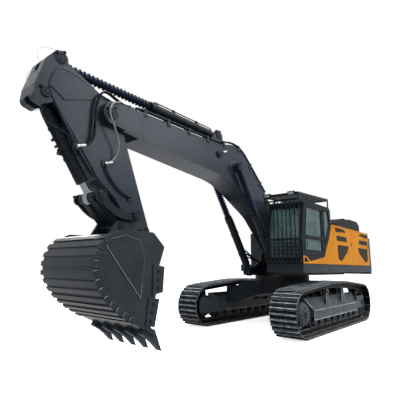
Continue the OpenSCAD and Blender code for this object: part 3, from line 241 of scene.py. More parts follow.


# %% [markdown]
# ## Materials
# Most of this machine is steel under enamel. Paint could be one flat colour, but real paint has clouds of a
# second shade, dust where it looks up, bright edges where it is rubbed and a fine grain in its gloss. The pale
# edges here are also painted highlights where edges catch the light, and on the track frames the colour on faces
# that look up is dark, a painted shade. One function, `add`, puts a node into a tree and links it, and `coat`
# builds that layered paint from a few values.
# Colours are sRGB hex. Patterns use Object coordinates, and their sizes are given in millimetres.


# %% Colours and nodes
def rgb(code):
    """Linear colour from sRGB hex."""
    c = np.array([int(code[i:i + 2], 16) for i in (1, 3, 5)]) / 255
    lin = np.where(c <= 0.04045, c / 12.92, ((c + 0.055) / 1.055) ** 2.4)
    return (*lin.tolist(), 1.0)


def add(tree, kind, give=0, settings=None, **sockets):
    """Adds a node and returns one output; a socket takes a number, a hex colour or another node's output.

    A socket is named by its label, with _ for a blank, or by i and its number.
    """
    node = tree.nodes.new("ShaderNode" + kind)
    for key, value in (settings or {}).items():
        setattr(node, key, value)
    for key, value in sockets.items():
        numbered = key[0] == "i" and key[1:].isdigit()
        socket = node.inputs[int(key[1:]) if numbered else key.replace("_", " ")]
        if isinstance(value, bpy.types.NodeSocket):
            tree.links.new(value, socket)
        else:
            socket.default_value = rgb(value) if isinstance(value, str) else value
    return node.outputs[give] if len(node.outputs) else node


def new_material(name):
    """Empty node material and its tree."""
    m = bpy.data.materials.new(name)
    m.use_nodes = True
    m.node_tree.nodes.clear()
    return m, m.node_tree


# Settings of the Mix and Math nodes, and the number of the Mix node's colour output
COLOURS, TIMES, LARGER, MIXED = {"data_type": "RGBA"}, {"operation": "MULTIPLY"}, {"operation": "MAXIMUM"}, 2
print("mid grey #808080 is", round(rgb("#808080")[0], 3), "in linear light")

# %% Layered paint
PATCH_MM, SHEEN_MM = 90, 35
GRAIN_DEEP = 0.004


def coat(name, colour, shade, rough=0.4, metal=0.0, cloud_mm=420, grain_mm=5, bump=0.06, dust_and_shade="#8a857a",
         dust_and_shade_share=0.12, edge_mm=7, worn_and_highlit="#6b7075", wear_and_highlight=0.0, gloss=0.1):
    """Painted or cast surface: clouds of a second shade, dust on faces that look up, pale edges, fine grain.

    Dust goes by how far the normal points up, times patches; where its colour is darker than the paint, it is
    painted shade. The pale edges go by how far the true normal departs from one rounded over edge_mm, times the
    same patches: rubbed paint and painted highlights together.
    """
    m, t = new_material(name)
    where = add(t, "TexCoord", "Object")
    rows = {"clouds": (cloud_mm, 4.0, 0.55), "patches": (PATCH_MM, 6.0, 0.65),
            "sheen": (SHEEN_MM, 5.0, 0.55), "grain": (grain_mm, 3.0, 0.55)}
    noise = {key: add(t, "TexNoise", "Fac", Vector=where, Scale=1000 / mm, Detail=detail, Roughness=share)
             for key, (mm, detail, share) in rows.items()}
    clouds = add(t, "MapRange", i0=noise["clouds"], i1=0.38, i2=0.66)
    patches = add(t, "MapRange", i0=noise["patches"], i1=0.42, i2=0.72, i3=0.25)
    sheen = add(t, "MapRange", i0=noise["sheen"], i1=0.3, i2=0.7, i3=rough, i4=rough + 0.16)
    true = add(t, "NewGeometry", "Normal")
    facing = add(t, "MapRange", i0=add(t, "SeparateXYZ", "Z", Vector=true), i1=0.25, i2=0.95)
    # Colour on faces that look up: pale dust on most coats, a dark painted shade on the track frames
    dust_and_shade_mask = add(t, "Math", 0, TIMES, i0=add(t, "Math", 0, TIMES, i0=facing, i1=patches), i1=dust_and_shade_share)
    paint = add(t, "Mix", MIXED, COLOURS, i0=clouds, i6=colour, i7=shade)
    paint = add(t, "Mix", MIXED, COLOURS, i0=dust_and_shade_mask, i6=paint, i7=dust_and_shade)
    soft = add(t, "Bevel", 0, {"samples": 4}, Radius=edge_mm / 1000)
    # Pale edges: rubbed paint, and painted highlights where the edges catch the light
    if wear_and_highlight:
        bend = add(t, "VectorMath", "Value", {"operation": "DOT_PRODUCT"}, i0=true, i1=soft)
        edge = add(t, "MapRange", i0=bend, i1=0.995, i2=0.92)
        rubbed_and_highlit_edges = add(t, "Math", 0, TIMES, i0=add(t, "Math", 0, TIMES, i0=edge, i1=patches), i1=wear_and_highlight)
        paint = add(t, "Mix", MIXED, COLOURS, i0=rubbed_and_highlit_edges, i6=paint, i7=worn_and_highlit)
    bumped = add(t, "Bump", Height=noise["grain"], Strength=bump, Distance=GRAIN_DEEP, Normal=soft)
    add(t, "OutputMaterial", Surface=add(t, "BsdfPrincipled", Base_Color=paint, Roughness=sheen, Metallic=metal,
                                         Normal=bumped, Specular_IOR_Level=gloss))
    return m


# %% Enamels of the working arm
# Two-pack enamel of boom and stick: dark slate with a blue cast and a clear gloss
slate = coat("slate_enamel", "#2a323c", "#232a34", rough=0.2, cloud_mm=700, wear_and_highlight=0.35, worn_and_highlit="#4c535a",
             gloss=0.15)
# The same enamel on the bucket, a little greyer from handling, its edges rubbed pale and given painted highlights
bucket_coat = coat("bucket_enamel", "#2f3336", "#25292c", rough=0.24, cloud_mm=350, grain_mm=7, bump=0.1,
                   dust_and_shade_share=0.2, wear_and_highlight=0.6, worn_and_highlit="#6a6f72", gloss=0.14)
# Cylinder tubes, links and pins: nearly black, duller than the arm
tube_coat = coat("cylinder_enamel", "#1f242a", "#191d22", rough=0.32, cloud_mm=260, dust_and_shade_share=0.1, wear_and_highlight=0.4,
                 worn_and_highlit="#4a5056")
# Hard chrome on the bucket cylinder's rod: a smooth mirror that drags the light along it
chrome = coat("rod_chrome", "#83888c", "#73787c", rough=0.16, metal=1.0, cloud_mm=60, grain_mm=12, bump=0.01,
              dust_and_shade_share=0.05, edge_mm=2)
# Cast teeth: coarse, grey and matt
tooth_cast = coat("tooth_casting", "#3b3f42", "#2e3235", rough=0.45, metal=0.3, cloud_mm=80, grain_mm=6,
                  bump=0.25, dust_and_shade_share=0.15, edge_mm=9)
print("materials so far:", len(bpy.data.materials))

# %% Enamels of the tracks and the house
# Rolled track shoes: black, with lug edges rubbed pale, a pale that is also a painted highlight
shoe_steel = coat("track_steel", "#121416", "#0c0e0f", rough=0.4, gloss=0.06, cloud_mm=150, grain_mm=4,
                  bump=0.18, dust_and_shade="#8a877f", dust_and_shade_share=0.3, edge_mm=24, wear_and_highlight=1.0, worn_and_highlit="#d0d3d4")
# Carbody: black under a film of dust
frame_coat = coat("frame_enamel", "#1f2326", "#171b1e", rough=0.36, cloud_mm=320, dust_and_shade_share=0.5, dust_and_shade="#a5a29a",
                  wear_and_highlight=0.5, worn_and_highlit="#6d7174")
# Track frames: paler on their sides; the dark colour on faces that look up is painted shade, the shadow of the
# track above
frame_light = coat("frame_dusty_enamel", "#4b4f50", "#3a3e3f", rough=0.36, cloud_mm=240, dust_and_shade_share=0.5,
                   dust_and_shade="#2c2e2f", wear_and_highlight=0.7, worn_and_highlit="#a4a8a9")
# Machined slewing ring: dark, with a little metal in its gloss
ring_steel = coat("ring_steel", "#202426", "#16191b", metal=0.2, cloud_mm=80, dust_and_shade_share=0.2)
# Sills, tanks and counterweight: even dark grey
house_grey = coat("house_enamel", "#2c3136", "#24292e", rough=0.36, cloud_mm=500, dust_and_shade_share=0.15, wear_and_highlight=0.3)
# Amber panels: a warm, even colour with a low gloss and pale edges
amber = coat("amber_enamel", "#d98b22", "#cd7f1b", cloud_mm=800, bump=0.04, dust_and_shade="#c9b48a", edge_mm=10,
             wear_and_highlight=0.3, worn_and_highlit="#e8b560", gloss=0.04)
# Cab's pressed frame: black, with pale lines along its folds
cab_coat = coat("cab_enamel", "#1c2226", "#161b1f", rough=0.36, cloud_mm=300, dust_and_shade_share=0.1, wear_and_highlight=0.5,
                worn_and_highlit="#4e565b", gloss=0.05)
# Guards: satin black on thin bars
guard_coat = coat("guard_satin", "#171c1f", "#111518", rough=0.36, cloud_mm=200, wear_and_highlight=0.5, worn_and_highlit="#50575b",
                  edge_mm=3)
print("materials so far:", len(bpy.data.materials))

# %% Mouldings, rubber, plating and welds
# Moulded covers and consoles: dull black with a leathery grain
cover_plastic = coat("cover_moulding", "#1d1f20", "#161718", rough=0.5, cloud_mm=240, grain_mm=3, bump=0.2,
                     dust_and_shade_share=0.15)
console_moulding = coat("console_moulding", "#26282a", "#1f2123", rough=0.6, cloud_mm=120, grain_mm=2, bump=0.2,
                        dust_and_shade_share=0.05)
# Cast iron of the engine: grey and rough
engine_iron = coat("engine_iron", "#4a4c4d", "#3a3b3c", rough=0.55, cloud_mm=180, grain_mm=6, bump=0.3)
# Rubber of hoses and seals: matt black
hose_rubber = coat("hose_rubber", "#17191c", "#101214", rough=0.55, cloud_mm=60, grain_mm=3, bump=0.2,
                   dust_and_shade_share=0.1, edge_mm=1)
# Vinyl of the ridged sleeves: navy, a soft gloss on each fold
sleeve_navy = coat("sleeve_vinyl", "#1b2338", "#131a2c", rough=0.38, cloud_mm=90, grain_mm=4, bump=0.15,
                   edge_mm=2)
# Spiral guard round a hose: grey plastic
hose_wrap = coat("hose_guard", "#8b8d86", "#6f716b", rough=0.5, cloud_mm=30, grain_mm=4, bump=0.2, dust_and_shade_share=0.1,
                 edge_mm=1)
# Zinc plate on fittings: pale and bright
zinc = coat("zinc_plate", "#c9cbc2", "#a9aca3", rough=0.34, metal=0.5, cloud_mm=25, grain_mm=3, bump=0.08,
            dust_and_shade_share=0.1, edge_mm=1)
# Blackened bolts: dark, with a dull metal gloss
bolt_dark = coat("bolt_black", "#34383b", "#26292c", metal=0.5, cloud_mm=30, grain_mm=3, bump=0.1, dust_and_shade_share=0.15,
                 edge_mm=1)
# Weld seams, under enamel and bare: lumpy, paler than the plate
weld_coat = coat("weld_enamel", "#565c62", "#474d53", cloud_mm=25, grain_mm=9, bump=0.5, dust_and_shade_share=0.2, edge_mm=1)
weld_bright = coat("weld_bare", "#8f9493", "#6f7474", rough=0.36, metal=0.3, cloud_mm=18, grain_mm=9, bump=0.4,
                   dust_and_shade_share=0.1, edge_mm=1)
# Lug tips: rubbed to bare steel in patches, and a painted highlight as well. Frame edges: the same pale steel as
# painted highlights on rolled edges
rubbed_steel = coat("rubbed_steel", "#cfd2d3", "#6a6e70", rough=0.38, metal=0.15, cloud_mm=110, grain_mm=6,
                    bump=0.15, dust_and_shade_share=0.1, edge_mm=1)
# Holes that go through the shoes: black, with no gloss to speak of, a painted shade where each hole is
hole_dark = coat("hole_shadow", "#0b0c0d", "#060707", rough=0.9, cloud_mm=30, grain_mm=4, bump=0.1, dust_and_shade_share=0.0,
                 edge_mm=1)
print("materials so far:", len(bpy.data.materials))

# %% [markdown]
# ### Glass, lens, weave and wire mesh
# These four aren't paint. Laminated glass could be a refracting solid, but a thin pane looks the same with a
# clear shader and a faint film, and renders faster. The lens, the seat's weave and the doors' wire mesh are
# regular, so waves with a real spacing draw them: a wave texture of scale 1 repeats every 314 mm.

# %% Regular patterns and glass
WAVE_MM = 1000 * 2 * math.pi / 20
FLUTE_MM, WIRE_MM = 12.083, 28.05
# Coarser than the real weave, so that it shows
THREAD_MM = 5.067


def glass_material():
    """Green-tinted laminated glass: a clear part, a gloss and a faint pale film, with smears in its gloss."""
    m, t = new_material("tinted_glass")
    where = add(t, "TexCoord", "Object")
    rows = {"smear": (160, 5.0), "tint": (500, 4.0), "film": (300, 4.0), "haze": (420, 4.0)}
    noise = {key: add(t, "TexNoise", "Fac", Vector=where, Scale=1000 / mm, Detail=detail, Roughness=0.55)
             for key, (mm, detail) in rows.items()}
    smear = add(t, "MapRange", i0=noise["smear"], i1=0.35, i2=0.7, i3=0.02, i4=0.1)
    haze = add(t, "MapRange", i0=noise["haze"], i1=0.3, i2=0.7, i3=0.22, i4=0.40)
    tint = add(t, "Mix", MIXED, COLOURS, i0=noise["tint"], i6="#a9c6c2", i7="#9dbbb7")
    pale = add(t, "Mix", MIXED, COLOURS, i0=noise["film"], i6="#86a0a0", i7="#94acac")
    clear = add(t, "BsdfTransparent", Color=tint)
    film = add(t, "BsdfPrincipled", Base_Color=pale, Roughness=smear)
    add(t, "OutputMaterial", Surface=add(t, "MixShader", i0=haze, i1=clear, i2=film))
    return m


def lens_material():
    """Clear lamp lens: flutes FLUTE_MM apart over a bright reflector."""
    m, t = new_material("lamp_lens")
    where = add(t, "TexCoord", "Object")
    wave = add(t, "TexWave", "Fac", {"bands_direction": "Y"}, Vector=where, Scale=WAVE_MM / FLUTE_MM)
    base = add(t, "Mix", MIXED, COLOURS, i0=wave, i6="#9aa2a6", i7="#737b80")
    bump = add(t, "Bump", Height=wave, Strength=0.4, Distance=0.003)
    add(t, "OutputMaterial", Surface=add(t, "BsdfPrincipled", Base_Color=base, Roughness=0.12, Metallic=0.4,
                                         Normal=bump))
    return m


def cloth_material():
    """Woven seat cloth: threads THREAD_MM apart both ways, the two waves multiplied."""
    m, t = new_material("seat_weave")
    where = add(t, "TexCoord", "Object")
    waves = [add(t, "TexWave", "Fac", {"bands_direction": way}, Vector=where, Scale=WAVE_MM / THREAD_MM,
                 Distortion=0.4) for way in "YZ"]
    weave = add(t, "Math", 0, TIMES, i0=waves[0], i1=waves[1])
    bump = add(t, "Bump", Height=weave, Strength=0.35, Distance=0.002)
    cloud = add(t, "TexNoise", "Fac", Vector=where, Scale=1000 / 120, Detail=4.0, Roughness=0.55)
    cloud = add(t, "MapRange", i0=cloud, i1=0.35, i2=0.7)
    base = add(t, "Mix", MIXED, COLOURS, i0=cloud, i6="#17181a", i7="#222427")
    add(t, "OutputMaterial", Surface=add(t, "BsdfPrincipled", Base_Color=base, Roughness=0.85, Normal=bump,
                                         Sheen_Weight=0.2))
    return m


def mesh_material():
    """Woven wire mesh on a panel: wires WIRE_MM apart on both slants, the larger of two waves, on a dark ground
    that is painted shade of the bay behind.
    """
    m, t = new_material("grille_mesh")
    slant = add(t, "Mapping", Vector=add(t, "TexCoord", "Object"), Rotation=(0, math.radians(45), 0))
    waves = [add(t, "TexWave", "Fac", {"bands_direction": way}, Vector=slant, Scale=WAVE_MM / WIRE_MM)
             for way in "XZ"]
    wires = add(t, "MapRange", i0=add(t, "Math", 0, LARGER, i0=waves[0], i1=waves[1]), i1=0.75, i2=0.95)
    # Dark ground between the wires: painted shade of the bay behind the panel
    base = add(t, "Mix", MIXED, COLOURS, i0=wires, i6="#171614", i7="#4b473f")
    bump = add(t, "Bump", Height=wires, Strength=0.8, Distance=0.004)
    add(t, "OutputMaterial", Surface=add(t, "BsdfPrincipled", Base_Color=base, Roughness=0.6, Normal=bump,
                                         Specular_IOR_Level=0.05))
    return m


glass, lens, seat_cloth, grille_mesh = glass_material(), lens_material(), cloth_material(), mesh_material()
print("materials in all:", len(bpy.data.materials))

# %% [markdown]
# ### The solids' finishes
# The construction solids already have their right shapes, so they keep their meshes and only get a finish.
# A table from finish to nodes is easier to read than one line for each node.

# %% Finishes of the solids
finish_of = {
    frame_light: "track_frames", frame_coat: "carbody", ring_steel: "slew_ring",
    shoe_steel: "track_left track_right sprockets idlers bottom_rollers carrier_rollers",
    house_grey: "house_frame house_sills counterweight tank_fuel tank_oil",
    amber: "cab_skirt bay_panels bay_hood left_front_door left_rear_door right_door",
    cab_coat: "cab_shell cab_door", guard_coat: "front_guard roof_guard work_lamps",
    cover_plastic: "air_cleaner_cover exhaust_cover", seat_cloth: "cab_seat", console_moulding: "cab_console",
    engine_iron: "engine_block", slate: "boom stick", bucket_coat: "bucket",
    tube_coat: "boom_barrels arm_barrel_tube bucket_barrel_tube guide_links bucket_link boom_rods arm_rod",
    chrome: "bucket_rod", tooth_cast: "teeth"}
for mat, names in finish_of.items():
    for name in names.split():
        solid = nodes[name]
        if not solid.material_slots:
            solid.data.materials.append(mat)
        for s in solid.material_slots:
            s.material = mat
print("solids dressed:", sum(len(names.split()) for names in finish_of.values()))

# %% [markdown]
# ## Track shoes
# Each shoe is bolted to its chain link by four bolts, has holes that let mud out, drawn as black discs of
# painted shade, and carries lugs whose tips are rubbed bright, a pale strip that is also a painted highlight.
# The places could be read off the solid. It is surer to walk the same loop that the solid was drawn on: two
# end arcs, the ground run and an upper run that rises to the carrier rollers.

# %% The loop of the chain
GAUGE, SHOE_W, HALF_BASE, TRACK_R = 2.74, 0.64, 2.16, 0.54
LUG, PLATE, TOP, CARRIER_X, SHOES = 0.032, 0.018, 1.205, 0.56, 50


def lengths_along(points):
    """Arc length from the first point of a path to each of its points."""
    return np.r_[0, np.cumsum(np.linalg.norm(np.diff(np.asarray(points, float), axis=0), axis=1))]


def stepped(points, stations):
    """Points of a path at given arc lengths, straight from point to point."""
    s = lengths_along(points)
    return np.stack([np.interp(stations, s, c) for c in np.asarray(points, float).T], -1)


def track_joints():
    """Joints of the chain as (x, z): even steps along a loop whose end arcs run into the upper run smoothly."""
    r, top = TRACK_R - LUG - PLATE, TOP - LUG - PLATE
    to = np.array([CARRIER_X - HALF_BASE, top - TRACK_R])
    leave = math.atan2(to[1], to[0]) - math.acos(r / np.linalg.norm(to))
    a = np.linspace(-QUARTER_TURN, leave, 41)
    front = np.stack([HALF_BASE + r * np.cos(a), TRACK_R + r * np.sin(a)], 1)
    low = [[0, TRACK_R - r]]
    loop = np.vstack([low, front, [[CARRIER_X, top], [-CARRIER_X, top]], front[::-1] * [-1, 1], low])
    return stepped(loop, np.linspace(0, lengths_along(loop)[-1], SHOES, endpoint=False))


chain = track_joints()
print("pitch of the chain:", round(float(np.linalg.norm(chain[1] - chain[0])), 4), "m")

# %% Shoe bolts, lug tips and mud holes
BOLT_Y, HOLE_Y, LUG_SHARES = (-0.115, -0.055, 0.055, 0.115), (-0.2, 0.2), (-0.895, 0.14)
TIP_W, TIP_IN, TIP_PROUD = 0.014, 0.004, 0.0035


def plate(corner, a, b, push):
    """Four-sided plate from a corner along the vectors a and b."""
    return slab([corner, corner + a, corner + a + b, corner + b], push)


def bolt(p, axis, r, h):
    """Hexagon head, six steps round, on a washer 1.3 times as wide and a quarter as high."""
    washer = turned(p, axis, [(0, r * 1.3), (h * 0.25, r * 1.3)], 14)
    return [washer, turned(p + axis * h * 0.25, axis, [(0, r), (h * 0.7, r), (h * 0.8, r * 0.85)], 6)]


bolts, holes, tips = [], [], []
for p, q in zip(chain, np.roll(chain, -1, axis=0)):
    pitch = np.linalg.norm(q - p)
    d, mid = (q - p) / pitch, (p + q) / 2
    along, out = np.array([d[0], 0, d[1]]), np.array([d[1], 0, -d[0]])
    for side in SIDES:
        centre = at(mid[0], side * GAUGE / 2, mid[1])
        for y in BOLT_Y:
            bolts += bolt(centre + out * PLATE + Y * y - along * pitch * 0.2, out, 0.014, 0.016)
        # Pale strip on each lug tip: rubbed steel and a painted highlight
        for share in LUG_SHARES:
            corner = centre + Y * (TIP_IN - SHOE_W / 2) + along * (pitch / 2 * share - TIP_W / 2)
            tips.append(plate(corner + out * (LUG + PLATE - 0.002), along * TIP_W, Y * (SHOE_W - 2 * TIP_IN),
                              out * TIP_PROUD))
        # Black disc in each mud hole: painted shade where the hole goes through
        for y in HOLE_Y:
            place = centre + out * PLATE + Y * y + along * pitch * 0.33 - out * 0.004
            holes.append(turned(place, out, [(0, 0.024), (0.005, 0.024)], 14))
piece("shoe_bolts", bolts, bolt_dark, "undercarriage")
piece("shoe_lug_tips", tips, rubbed_steel, "undercarriage")
piece("shoe_mud_holes", holes, hole_dark, "undercarriage")
tell("track shoes")

# %% [markdown]
# ## Final drives, rollers and frame edges
# A final drive is a dished cover with a ring of bolts and a plug. Rollers and idlers end in caps. The frames'
# skirts have rolled edges that catch the light. Those highlights could be left to the lamps alone, but a thin
# round of pale steel along each edge is a painted highlight that shows at this distance and goes with the mesh
# wherever it is used.

# %% Caps and bolts of the running gear
HUB_Y, ROLLER_Z, CAP_Y = 0.305, 0.275, 0.21
CARRIER_Y, CARRIER_Z = 0.18, 0.947
ROLLERS, ROLLER_SPAN = 8, 2 * HALF_BASE * 0.68
# Caps as radius, height, bevel and steps round; bolts as number, ring's radius, size and height
ROLLER, IDLER, CARRIER = (0.055, 0.012, 0.007, 18), (0.085, 0.014, 0.01, 24), (0.045, 0.014, 0.007, 18)
ROLLER_BOLTS, IDLER_BOLTS = (3, 0.036, 0.008, 0.01), (6, 0.06, 0.009, 0.012)
gear_bolts, gear_caps = [], []


def ring_of(p, axis, r, count, make):
    """Parts that make(place) gives at count places evenly round an axis."""
    return [part for place in p + r * circle(*across(axis), count) for part in make(place)]


def on_frame(side, face, x, y, z):
    """Point y metres to the left, for face 1, or right, for face -1, of a track's middle plane."""
    return at(x, side * GAUGE / 2 + face * y, z)


def put_cap(p, axis, cap, bolts=None):
    """Turned cap with a bevelled edge on a shaft's end, and a ring of bolts where it has one."""
    r, rise, bevel, n = cap
    gear_caps.append(turned(p, axis, [(-0.004, r), (rise, r), (rise + 0.006, r - bevel)], n))
    if bolts:
        count, ring_r, size, high = bolts
        gear_bolts.extend(ring_of(p + axis * rise, axis, ring_r, count, lambda b: bolt(b, axis, size, high)))


for side in SIDES:
    out = Y * side
    hub = at(HALF_BASE, side * (GAUGE / 2 + HUB_Y), TRACK_R)
    gear_bolts += ring_of(hub - out * 0.002, out, 0.15, 12, lambda p: bolt(p, out, 0.013, 0.016))
    gear_caps.append(turned(hub - out * 0.002, out, [(0, 0.1), (0.008, 0.1), (0.012, 0.094)], 32))
    gear_caps.append(turned(hub + out * 0.008, out, [(0, 0.03), (0.012, 0.03), (0.016, 0.024)], 6))
    for face in SIDES:
        for x in np.linspace(-ROLLER_SPAN / 2, ROLLER_SPAN / 2, ROLLERS):
            put_cap(on_frame(side, face, x, CAP_Y, ROLLER_Z), Y * face, ROLLER, ROLLER_BOLTS)
        put_cap(on_frame(side, face, -HALF_BASE, CAP_Y, TRACK_R), Y * face, IDLER, IDLER_BOLTS)
        for x in (-CARRIER_X, CARRIER_X):
            put_cap(on_frame(side, face, x, CARRIER_Y, CARRIER_Z), Y * face, CARRIER)
print("caps:", len(gear_caps), "bolts:", len(gear_bolts) // 2)

# %% Painted edge highlights and drive faces
SKIRT_Y, SHOULDER, SKIRT_LOW, CREST_Y, CREST = 0.21, 0.563, 0.355, 0.06, 0.841
SKIRT_FRONT, SKIRT_REAR, CREST_FRONT = 1.49, -1.663, 1.706
ARCH_Y, ARCH_R, ARCH_FOOT, ARCH_Z = 0.182, 0.068, 0.1, 0.63
rubbed_and_highlit_edges, drive_faces = [], []
for side in SIDES:
    for face in SIDES:
        rear_high, front_high, crest, rear_low, front_low = (on_frame(side, face, *p) for p in (
            (SKIRT_REAR, SKIRT_Y, SHOULDER), (SKIRT_FRONT, SKIRT_Y, SHOULDER), (CREST_FRONT, CREST_Y, CREST),
            (SKIRT_REAR, SKIRT_Y, SKIRT_LOW), (SKIRT_FRONT, SKIRT_Y, SKIRT_LOW)))
        for a, b, r in ((rear_high, front_high, 0.009), (front_high, crest, 0.009),
                        (rear_low, front_low, 0.008), (front_low, front_high, 0.008)):
            rubbed_and_highlit_edges.append(tube(np.linspace(a, b, 5), r, 8))
        for x in (-CARRIER_X, CARRIER_X):
            turn = np.linspace(math.pi, 0, 13)
            arch = zip([x - ARCH_FOOT, *(x + ARCH_R * np.cos(turn)), x + ARCH_FOOT],
                       [ARCH_Z, *(CARRIER_Z + ARCH_R * np.sin(turn)), ARCH_Z])
            rubbed_and_highlit_edges.append(tube([on_frame(side, face, u, ARCH_Y, z) for u, z in arch], 0.009, 8))
    hub = at(HALF_BASE, side * (GAUGE / 2 + HUB_Y), TRACK_R)
    dish = [(-0.08, 0.262), (-0.074, 0.262), (-0.005, 0.199), (0.002, 0.186)]
    drive_faces.append(turned(hub, Y * side, dish, 48))
# Pale rounds along the skirts' edges and the arches over the carrier rollers: painted highlights on the rolled
# edges
piece("frame_rubbed_edges", rubbed_and_highlit_edges, rubbed_steel, "undercarriage", 60)
piece("drive_faces", drive_faces, frame_light, "undercarriage")
piece("undercarriage_bolts", gear_bolts, bolt_dark, "undercarriage")
piece("undercarriage_caps", gear_caps, frame_coat, "undercarriage")
tell("running gear")

# %% [markdown]
# ## Cab glass
# The panes lie in the openings of the cab's shell and door, 20 to 30 mm inside the outer faces, with rubber
# round each edge. A pane could be cut from the shell with a Boolean. An outline of (x, z) pushed out by the
# glass's thickness is simpler, and the same outline carries the seal.

# %% Panes
CAB_REAR, CAB_FRONT, CAB_Y0, CAB_Y1, ROOF = -0.09, 1.81, 0.55, 1.5, 3.2
DOOR_X0, DOOR_X1, BROW, WAIST, RAKE = 0.518, 1.70, 2.344, 2.2975, 0.19
GLASS, INSET = 0.008, 0.02
PANE_Y0, PANE_Y1, SCREEN_LOW, SCREEN_TOP = 0.61, 1.44, 1.774, 3.02
WAIST_BAR, LITE_X0, LITE_X1, LITE_LOW, LITE_TOP = 0.03, 0.588, 1.63, 1.974, 3.05


def block(lo, hi):
    """Box between two corners."""
    size = hi - lo
    return plate(lo, X * size[0], Y * size[1], Z * size[2])


def front_x(z):
    """Place of the cab's front face at a height: upright to the brow, then raked back."""
    return CAB_FRONT - RAKE * max(0.0, z - BROW) / (ROOF - BROW)


def side_pane(outline, y):
    """Pane in a side wall: an outline of (x, z) pushed out by the glass's thickness."""
    return slab([at(x, y, z) for x, z in outline[::-1]], Y * GLASS)


over, under = WAIST + WAIST_BAR, WAIST - WAIST_BAR
door_lites = [[(LITE_X0, over), (LITE_X1, over), (LITE_X1, BROW), (1.50, LITE_TOP), (LITE_X0, LITE_TOP)],
              [(LITE_X0, LITE_LOW), (LITE_X1, LITE_LOW), (LITE_X1, under), (LITE_X0, under)]]
quarter = [(0.028, 2.71), (0.419, 2.142), (0.419, 3.091), (0.085, 3.091)]
right_side = [(DOOR_X0, WAIST), (DOOR_X1, WAIST), (DOOR_X1, BROW), (1.56, 3.12), (DOOR_X0, 3.12)]
screen = [(front_x(z) - INSET, z) for z in (SCREEN_LOW, BROW, SCREEN_TOP)]
screen += [(x - GLASS, z) for x, z in screen[::-1]]
left_y, right_y = CAB_Y1 - 0.03, CAB_Y0 + INSET
panes = [slab([at(x, PANE_Y0, z) for x, z in screen], Y * (PANE_Y1 - PANE_Y0)),
         side_pane(quarter, left_y), side_pane(quarter, right_y), side_pane(right_side, right_y),
         block(at(CAB_REAR + INSET, PANE_Y0, WAIST), at(CAB_REAR + INSET + GLASS, PANE_Y1, SCREEN_TOP))]
piece("cab_glass", panes, glass, "house")
piece("door_glass", [side_pane(o, left_y) for o in door_lites], glass, "cab_door")
tell("glass")

# %% Seals
SEAL_Y0, SEAL_Y1, DOOR_SEAL_IN = 0.62, 1.43, 0.004


def seal(points, r=0.011):
    """Rubber bead: a round of radius r along a closed outline, eight steps a side."""
    p = np.asarray(points, float)
    sides = [np.linspace(a, b, 8, endpoint=False) for a, b in zip(p, np.roll(p, -1, axis=0))]
    return tube(np.vstack(sides + [p[:1]]), r, 8)


front_edge = [(SEAL_Y0, SCREEN_LOW), (SEAL_Y1, SCREEN_LOW), (SEAL_Y1, BROW), (SEAL_Y1, SCREEN_TOP),
              (SEAL_Y0, SCREEN_TOP), (SEAL_Y0, BROW)]
rear_edge = [(SEAL_Y0, WAIST), (SEAL_Y1, WAIST), (SEAL_Y1, SCREEN_TOP), (SEAL_Y0, SCREEN_TOP)]
seals = [seal([at(x, y, z) for x, z in o])
         for o, y in ((quarter, CAB_Y1), (right_side, CAB_Y0), (quarter, CAB_Y0))]
seals += [seal([at(front_x(z), y, z) for y, z in front_edge]), seal([at(CAB_REAR, y, z) for y, z in rear_edge])]
piece("cab_seals", seals, hose_rubber, "house")
door_seals = [seal([at(x, CAB_Y1 - DOOR_SEAL_IN, z) for x, z in o]) for o in door_lites]
piece("door_seals", door_seals, hose_rubber, "cab_door")
tell("seals")

# %% [markdown]
# ## Small fittings of the cab
# The door has a bow handle and three hinge knuckles, and each work lamp has a fluted lens. They could be modelled
# with every screw. They are small in the picture, so a tube along a smooth curve, short turned pins and thin
# blocks give enough.

# %% Door handle, hinges and lamp lenses
HANDLE_X, LAMP_X, LAMP_IN, LENS_HALF = 1.56, 2.013, 0.15, 0.073


def smooth(points, n=24):
    """Catmull-Rom curve through points, n steps a span: a cubic whose slope at b is half of c - a."""
    p = np.asarray(points, float)
    p = np.vstack([2 * p[0] - p[1], p, 2 * p[-1] - p[-2]])
    t = np.linspace(0, 1, n, endpoint=False)[:, None]
    out = []
    for a, b, c, d in zip(p[:-3], p[1:-2], p[2:-1], p[3:]):
        square, cube = 2 * a - 5 * b + 4 * c - d, 3 * b - a - 3 * c + d
        out.append(0.5 * (2 * b + (c - a) * t + square * t ** 2 + cube * t ** 3))
    return np.vstack(out + [p[-2][None]])


grip = [(1.498, 2.04), (1.512, 2.06), (1.514, 2.12), (1.512, 2.18), (1.498, 2.2)]
handle = tube(smooth([at(HANDLE_X, y, z) for y, z in grip], 6), 0.009)
piece("door_handle", [handle], hose_rubber, "cab_door")
knuckles = [turned(at(DOOR_X0, CAB_Y1, z), Z, [(0, 0.013), (0.09, 0.013)], 14) for z in (1.95, 2.45, 2.95)]
piece("cab_door_hinges", knuckles, cab_coat, "house")
lenses = [block(at(LAMP_X, y - LENS_HALF, 3.269), at(LAMP_X + 0.007, y + LENS_HALF, 3.361))
          for y in (CAB_Y0 + LAMP_IN, CAB_Y1 - LAMP_IN)]
piece("lamp_lenses", lenses, lens, "house")
tell("cab fittings")

# %% [markdown]
# ## Padded seat
# The driver's seat has three foam pads under woven cloth: cushion, back and headrest. A rounded box would look
# hard. Each pad starts as a superellipsoid with a crown and drawn-in sides, a cloth simulation blows it up a
# little, and the sewn channels are pressed in afterwards, because the remesh before the cloth would erase them.


